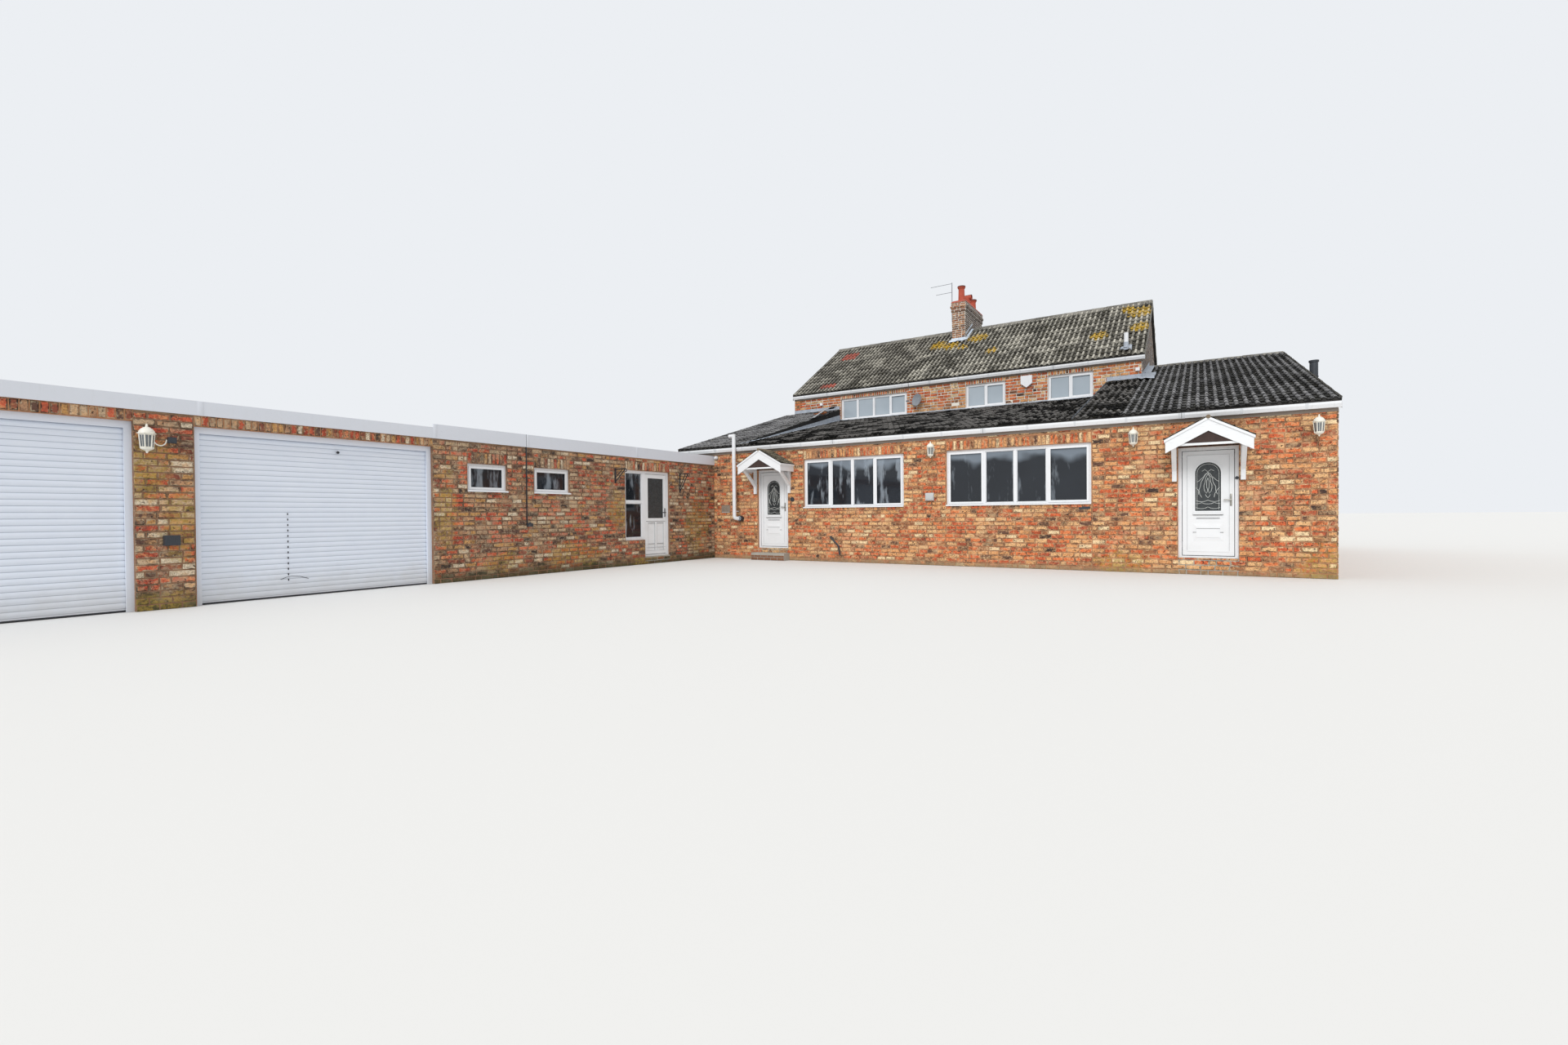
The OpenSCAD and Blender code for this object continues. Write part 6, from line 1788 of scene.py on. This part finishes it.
# The louvre's edges as (x0, x1, z0, z1), and its tilted slats
LOUVRE = (0.262, 0.553, 1.25, 1.469)
LOUVRE_BAR = 0.014
SLATS, SLAT_FOOT, SLAT_STEP, SLAT_X, SLAT_TILT = 7, 1.278, 0.0258, (0.283, 0.532), -0.5
# The boiler's flue, from its guard down and into the wall, with its collars
FLUE = [(0.84, -0.195, 1.24), (0.84, -0.195, 1.15), (0.852, -0.185, 1.115), (0.875, -0.16, 1.1),
        (0.9, -0.1, 1.095), (0.91, -0.02, 1.095)]
FLUE_RADIUS, FLUE_COLLARS = 0.051, (1.26, 2.0, 2.7)
COLLAR = [(0.05, 0), (0.055, 0.004), (0.055, 0.026), (0.05, 0.03)]
SWIRL_AT, SWIRL_STEPS = (0.95, -0.1225, 1.095), 43
# The small sounder under the gutter's left end
SOUNDER = [(0.0, 0.08), (0.028, 0.074), (0.048, 0.05), (0.052, 0.0)]
SOUNDER_RING = [(0.062, 0.0), (0.062, 0.012), (0.0, 0.012)]
# The bands of the black flue on the right-hand side
BLACK_FLUE, BANDS = (13.62, 3.95), (2.62, 3.35, 4.1)
BAND = [(0.075, 0.0), (0.082, 0.004), (0.082, 0.036), (0.075, 0.04)]
# The meter's cover and its lid as (low, high, rounding)
METER = [((6.181, -0.067, 1.479), (6.38, -0.002, 1.658), 0.014),
         ((6.199, -0.076, 1.496), (6.362, -0.06, 1.592), 0.008)]
# The bricks in the front of the step
STEP_BRICKS, STEP_X, STEP_LENGTH, STEP_JOINTED, STEP_Y = 5, 1.45, 0.194, 0.206, (-0.286, -0.27)
# The dish's receiver on its arm
RECEIVER_ARM = [(3.8, 5.64, 4.66), (3.72, 5.52, 4.68), (3.64, 5.42, 4.76)]
RECEIVER_AT, RECEIVER_AXIS = (3.6, 5.4, 4.8), (0.55, 0.8, 0.2)
RECEIVER = [(0.0, -0.05), (0.02, -0.048), (0.028, 0.0), (0.022, 0.05), (0.0, 0.055)]
# Basket brackets beside the side door as (y, height of the arm, foot of the plate, length of the arm)
BASKET_BRACKETS = [(-3.697, 2.27, 1.95, 0.36), (-1.455, 2.27, 1.78, 0.32)]
# The bent end of the second bracket: an arc's middle, radius, angles and steps, and the points after it
HOOK, HOOK_END = ((0.06, 0, 1.76), 0.05, 180, 360, 10), [(0.14, 0, 1.83), (0.2, 0, 1.8)]


class FARMHOUSE_OT_fittings(Operator):
    """Add the small parts of the gutters, lanterns, shutters, vents, dish and brackets"""

    bl_idname = "farmhouse.fittings"
    bl_label = "Fittings"

    def execute(self, context):
        self.lanterns()
        self.gutters()
        self.garage()
        self.meter_and_step()
        self.louvre()
        self.flues()
        self.dish()
        self.brackets()
        return {"FINISHED"}

    def lanterns(self):
        """Dark panes between the bars of each lantern."""
        kit = Kit()
        for x, y, z, turn in LANTERNS:
            for k in range(6):
                kit.at = at_yard(x, y, z, turn + 30 + 60 * k)
                for side in (-1, 1):
                    corners = [(out, across * side, height) for (out, half, height) in (PANE_FOOT, PANE_TOP)
                               for across in (PANE_EDGE, half)]
                    kit.prism([corners[i] for i in (0, 1, 3, 2)], (PANE_THICK, 0, 0))
        kit.done("lantern_panes", painted("lantern_glass"), "cream_metal")

    def gutters(self):
        """Brackets, unions and stop ends of the gutters."""
        clips, joints = Kit(), Kit()
        front, range_gutter = solid_boxes("gutters")[:2]
        for low, high in (front, range_gutter):
            near, far, top, foot = high[1], low[1], high[2], low[2]
            profile = [(near, top), (far - 0.003, top), (far - 0.003, top - 0.042),
                       (far + 0.029, foot - 0.003), (near - 0.026, foot - 0.003)]
            count = round((high[0] - low[0]) / GUTTER_STEP)
            for k in range(count):
                x = low[0] + (k + 0.5) * (high[0] - low[0]) / count
                union = k % 4 == 1
                half = UNION_HALF if union else BRACKET_HALF
                clips.prism([(x - half, y, z) for y, z in profile], (2 * half, 0, 0))
                if union:
                    joints.prism([(x - 0.003, y - 0.001, z) for y, z in profile], (0.006, 0, 0))
            for x in (low[0] - GUTTER_END, high[0]):
                clips.prism([(x, y, z) for y, z in profile], (GUTTER_END, 0, 0))
        low, high = range_gutter
        x, face_y, foot = yard(GUTTER_BREAK_X, 0).x, low[1] - 0.005, low[2] - 0.006
        joints.prism([(x, face_y, high[2]), (x, face_y, high[2] - 0.05), (x, low[1] + 0.03, foot),
                      (x, high[1], foot), (x, high[1], high[2])], (0.012, 0, 0))
        clips.done("gutter_clips", plastic("gutter_plastic", (214, 217, 221)), "white_plastic")
        joints.done("gutter_joints", painted("fitting_black"), "white_plastic")

    def garage(self):
        """Joint covers of the garage's fascia, and the dark parts on and beside its shutters."""
        covers, darks = Kit(YARD), Kit(YARD)
        for y, top in FASCIA_COVERS:
            covers.box((0.02, y - 0.03, FASCIA_FOOT), (0.0285, y + 0.03, top), 0.002)
        darks.lathe(KNOB_AT, KNOB, EAST, 16)
        darks.bar([(LOW_ARC_X, y, z) for y, z in LOW_ARC], 0.0032, 6)
        for k in range(SLOTS):
            z = SLOT_FOOT + SLOT_STEP * k
            darks.box((SLOT_X[0], SLOT_Y[0], z), (SLOT_X[1], SLOT_Y[1], z + SLOT_TALL))
        for y0, y1 in SEALS:
            darks.box((SEAL_X[0], y0, SEAL_Z[0]), (SEAL_X[1], y1, SEAL_Z[1]), 0.003)
        for low, high, bevel in DARK_STRIPS:
            darks.box(low, high, bevel)
        darks.lathe(BOWL_AT, DROP_PIPE_BOWL)
        # The covers share the fascia's painted shade: a darker, bluer white
        covers.done("fascia_covers", plastic("cover_plastic", (210, 214, 220)), "white_plastic")
        darks.done("shutter_darks", painted("fitting_black"), "white_steel")

    def louvre(self):
        """The vent's frame and its tilted slats."""
        kit = Kit(YARD)
        for k in range(SLATS):
            z = SLAT_FOOT + SLAT_STEP * k
            kit.box((SLAT_X[0], -0.022, z), (SLAT_X[1], -0.012, z + 0.019), 0.002,
                    Matrix.Rotation(SLAT_TILT, 4, "X"))
        x0, x1, z0, z1 = LOUVRE
        for a, b, c, d in ((x0, x0 + LOUVRE_BAR, z0, z1), (x1 - LOUVRE_BAR, x1, z0, z1),
                           (x0, x1, z0, z0 + LOUVRE_BAR), (x0, x1, z1 - LOUVRE_BAR, z1)):
            kit.box((a, -0.02, c), (b, -0.01, d), 0.002)
        kit.done("louvre_slats", painted("louvre"), "white_plastic")

    def flues(self):
        """The boiler's flue and its guard, the sounder, and the bands of the black flue."""
        pipe, dark = Kit(YARD), Kit(YARD)
        pipe.bar(FLUE, FLUE_RADIUS, 18)
        pipe.lathe((0.1, -0.012, 2.79), SOUNDER, SOUTH, 16)
        dark.lathe((0.1, 0.0, 2.787), SOUNDER_RING, SOUTH, 16)
        for z in FLUE_COLLARS:
            pipe.lathe((*FLUE[0][:2], z), COLLAR)
        x, y, z = SWIRL_AT
        swirl = [(0.012 + 0.0014 * k, k * 0.25) for k in range(SWIRL_STEPS)]
        pipe.bar([(x + r * math.cos(turn), y, z + r * math.sin(turn)) for r, turn in swirl], 0.005, 6)
        for z in BANDS:
            dark.lathe((*BLACK_FLUE, z), BAND)
        pipe.done("flue_fittings", plastic("fitting_white"), "white_plastic")
        dark.done("flue_bands", painted("fitting_black"), "black_metal")

    def meter_and_step(self):
        """The meter box's cover, and two courses of brick in the front of the step."""
        meter, bricks = Kit(YARD), Kit(YARD)
        for low, high, bevel in METER:
            meter.box(low, high, bevel)
        y0, y1 = STEP_Y
        for k in range(STEP_BRICKS):
            x0 = STEP_X + STEP_JOINTED * k
            x1 = x0 + STEP_LENGTH
            bricks.box((x0, y0, 0.006), (x1, y1, 0.074), 0.004)
            x0, x1 = x0 - 0.1 * (k > 0), x1 - 0.1 * (k < STEP_BRICKS - 1)
            bricks.box((x0, y0, 0.084), (x1, y1, 0.13), 0.004)
        meter.done("meter_cover", painted("meter_grey"), "white_plastic")
        bricks.done("step_bricks", painted("step_brick"), "concrete")

    def dish(self):
        """The receiver on its arm, in front of the dish."""
        kit = Kit(YARD)
        kit.bar(RECEIVER_ARM, 0.008)
        kit.lathe(RECEIVER_AT, RECEIVER, RECEIVER_AXIS, 14)
        kit.done("dish_receiver", painted("dish_grey"), "grey_metal")

    def brackets(self):
        """Two black iron brackets on either side of the side door, their baskets gone."""
        kit = Kit()
        for y, top, foot, out in BASKET_BRACKETS:
            kit.at = at_yard(0, y)
            kit.box((0.004, -0.018, foot), (0.022, 0.018, top + 0.03), 0.003)
            kit.box((0.006, -0.012, top - 0.012), (out, 0.012, top + 0.012), 0.003)
            kit.bar([(0.015, 0, foot + 0.03), (out - 0.03, 0, top - 0.01)], 0.012)
            kit.bar([(0.015, 0, foot + 0.12), (out - 0.12, 0, top - 0.01)], 0.01)
            kit.bar(arc((out, 0, top - 0.03), 0.03, 90, -150, 10), 0.009)
        kit.bar([*arc(*HOOK), *HOOK_END], 0.01)
        kit.done("basket_brackets", painted("fitting_black"), "black_metal")


# Stage

FLOOR_SIZE, FLOOR_Z = 400, -0.002
SENSOR_WIDTH, FAR_CLIP = 36, 1000


class FARMHOUSE_OT_stage(Operator):
    """Set the floor, the lights and the camera"""

    bl_idname = "farmhouse.stage"
    bl_label = "Stage"

    def execute(self, context):
        settings = context.scene.farmhouse_stage
        self.floor(settings)
        self.sky(context, settings)
        self.lamp(settings)
        self.camera(context, settings)
        context.scene.view_settings.view_transform = "Standard"
        return {"FINISHED"}

    def floor(self, settings):
        bm = bmesh.new()
        bmesh.ops.create_grid(bm, x_segments=1, y_segments=1, size=FLOOR_SIZE)
        mesh = bpy.data.meshes.new("floor")
        bm.to_mesh(mesh)
        bm.free()
        mesh.materials.append(Finish("floor", settings.floor).done(0.9))
        ground = add_object("floor", mesh)
        ground.location.z = FLOOR_Z

    def sky(self, context, settings):
        world = bpy.data.worlds.new("sky")
        world.use_nodes = True
        context.scene.world = world
        net = Net(world.node_tree)
        light = net.add("ShaderNodeBackground", {"Color": (1, 1, 1), "Strength": settings.sky_light})
        seen = net.add("ShaderNodeBackground", {"Color": settings.sky, "Strength": 1.0})
        path = net.add("ShaderNodeLightPath", None, "Is Camera Ray")
        outputs = path.socket.node.outputs
        for name in ("Is Glossy Ray", "Is Transmission Ray"):
            path = path.most(Value(net, outputs[name]))
        both = net.add("ShaderNodeMixShader", {0: path, 1: light, 2: seen})
        out = next(n for n in net.nodes if n.type == "OUTPUT_WORLD")
        net.links.new(both.socket, out.inputs["Surface"])

    def lamp(self, settings):
        data = bpy.data.lights.new("lamp", "SUN")
        data.energy = settings.sun
        data.angle = settings.sun_width
        sun = add_object("lamp", data)
        sun.rotation_mode = "QUATERNION"
        sun.rotation_quaternion = Vector(settings.sun_from).to_track_quat("Z", "Y")

    def camera(self, context, settings):
        data = bpy.data.cameras.new("camera")
        data.sensor_fit = "HORIZONTAL"
        data.sensor_width = SENSOR_WIDTH
        data.lens = settings.lens
        data.clip_end = FAR_CLIP
        camera = add_object("camera", data)
        turned = Matrix.Rotation(settings.turn, 4, "Z")
        turned = turned @ Matrix.Rotation(math.radians(90) - settings.tilt, 4, "X")
        camera.matrix_world = (Matrix.Translation(yard(*settings.eye)) @ turned
                               @ Matrix.Rotation(-settings.roll, 4, "Z"))
        context.scene.camera = camera


OPERATORS = (FARMHOUSE_OT_surfaces, FARMHOUSE_OT_brickwork, FARMHOUSE_OT_roofs, FARMHOUSE_OT_leadwork,
             FARMHOUSE_OT_chimney, FARMHOUSE_OT_windows, FARMHOUSE_OT_doors, FARMHOUSE_OT_canopies,
             FARMHOUSE_OT_fittings, FARMHOUSE_OT_stage)

SETTINGS = {
    "farmhouse_bricks": BrickSettings,
    "farmhouse_tiles": TileSettings,
    "farmhouse_stage": StageSettings,
}


class FARMHOUSE_PT_panel(Panel):
    """Lists the operators and the settings"""

    bl_idname = "FARMHOUSE_PT_panel"
    bl_label = "Farmhouse"
    bl_space_type = "VIEW_3D"
    bl_region_type = "UI"
    bl_category = "Farmhouse"

    def draw(self, context):
        for operator in OPERATORS:
            self.layout.operator(operator.bl_idname)
        for group in SETTINGS:
            box = self.layout.box()
            settings = getattr(context.scene, group)
            for key in settings.__annotations__:
                box.prop(settings, key)


def register():
    for kind in (*SETTINGS.values(), *OPERATORS, FARMHOUSE_PT_panel):
        bpy.utils.register_class(kind)
    for name, kind in SETTINGS.items():
        setattr(bpy.types.Scene, name, PointerProperty(type=kind))


def unregister():
    for name in SETTINGS:
        delattr(bpy.types.Scene, name)
    for kind in (FARMHOUSE_PT_panel, *reversed(OPERATORS), *reversed(SETTINGS.values())):
        bpy.utils.unregister_class(kind)


def main():
    register()
    for operator in OPERATORS:
        getattr(bpy.ops.farmhouse, operator.bl_idname.split(".")[1])()
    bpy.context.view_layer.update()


if __name__ == "__main__":
    main()
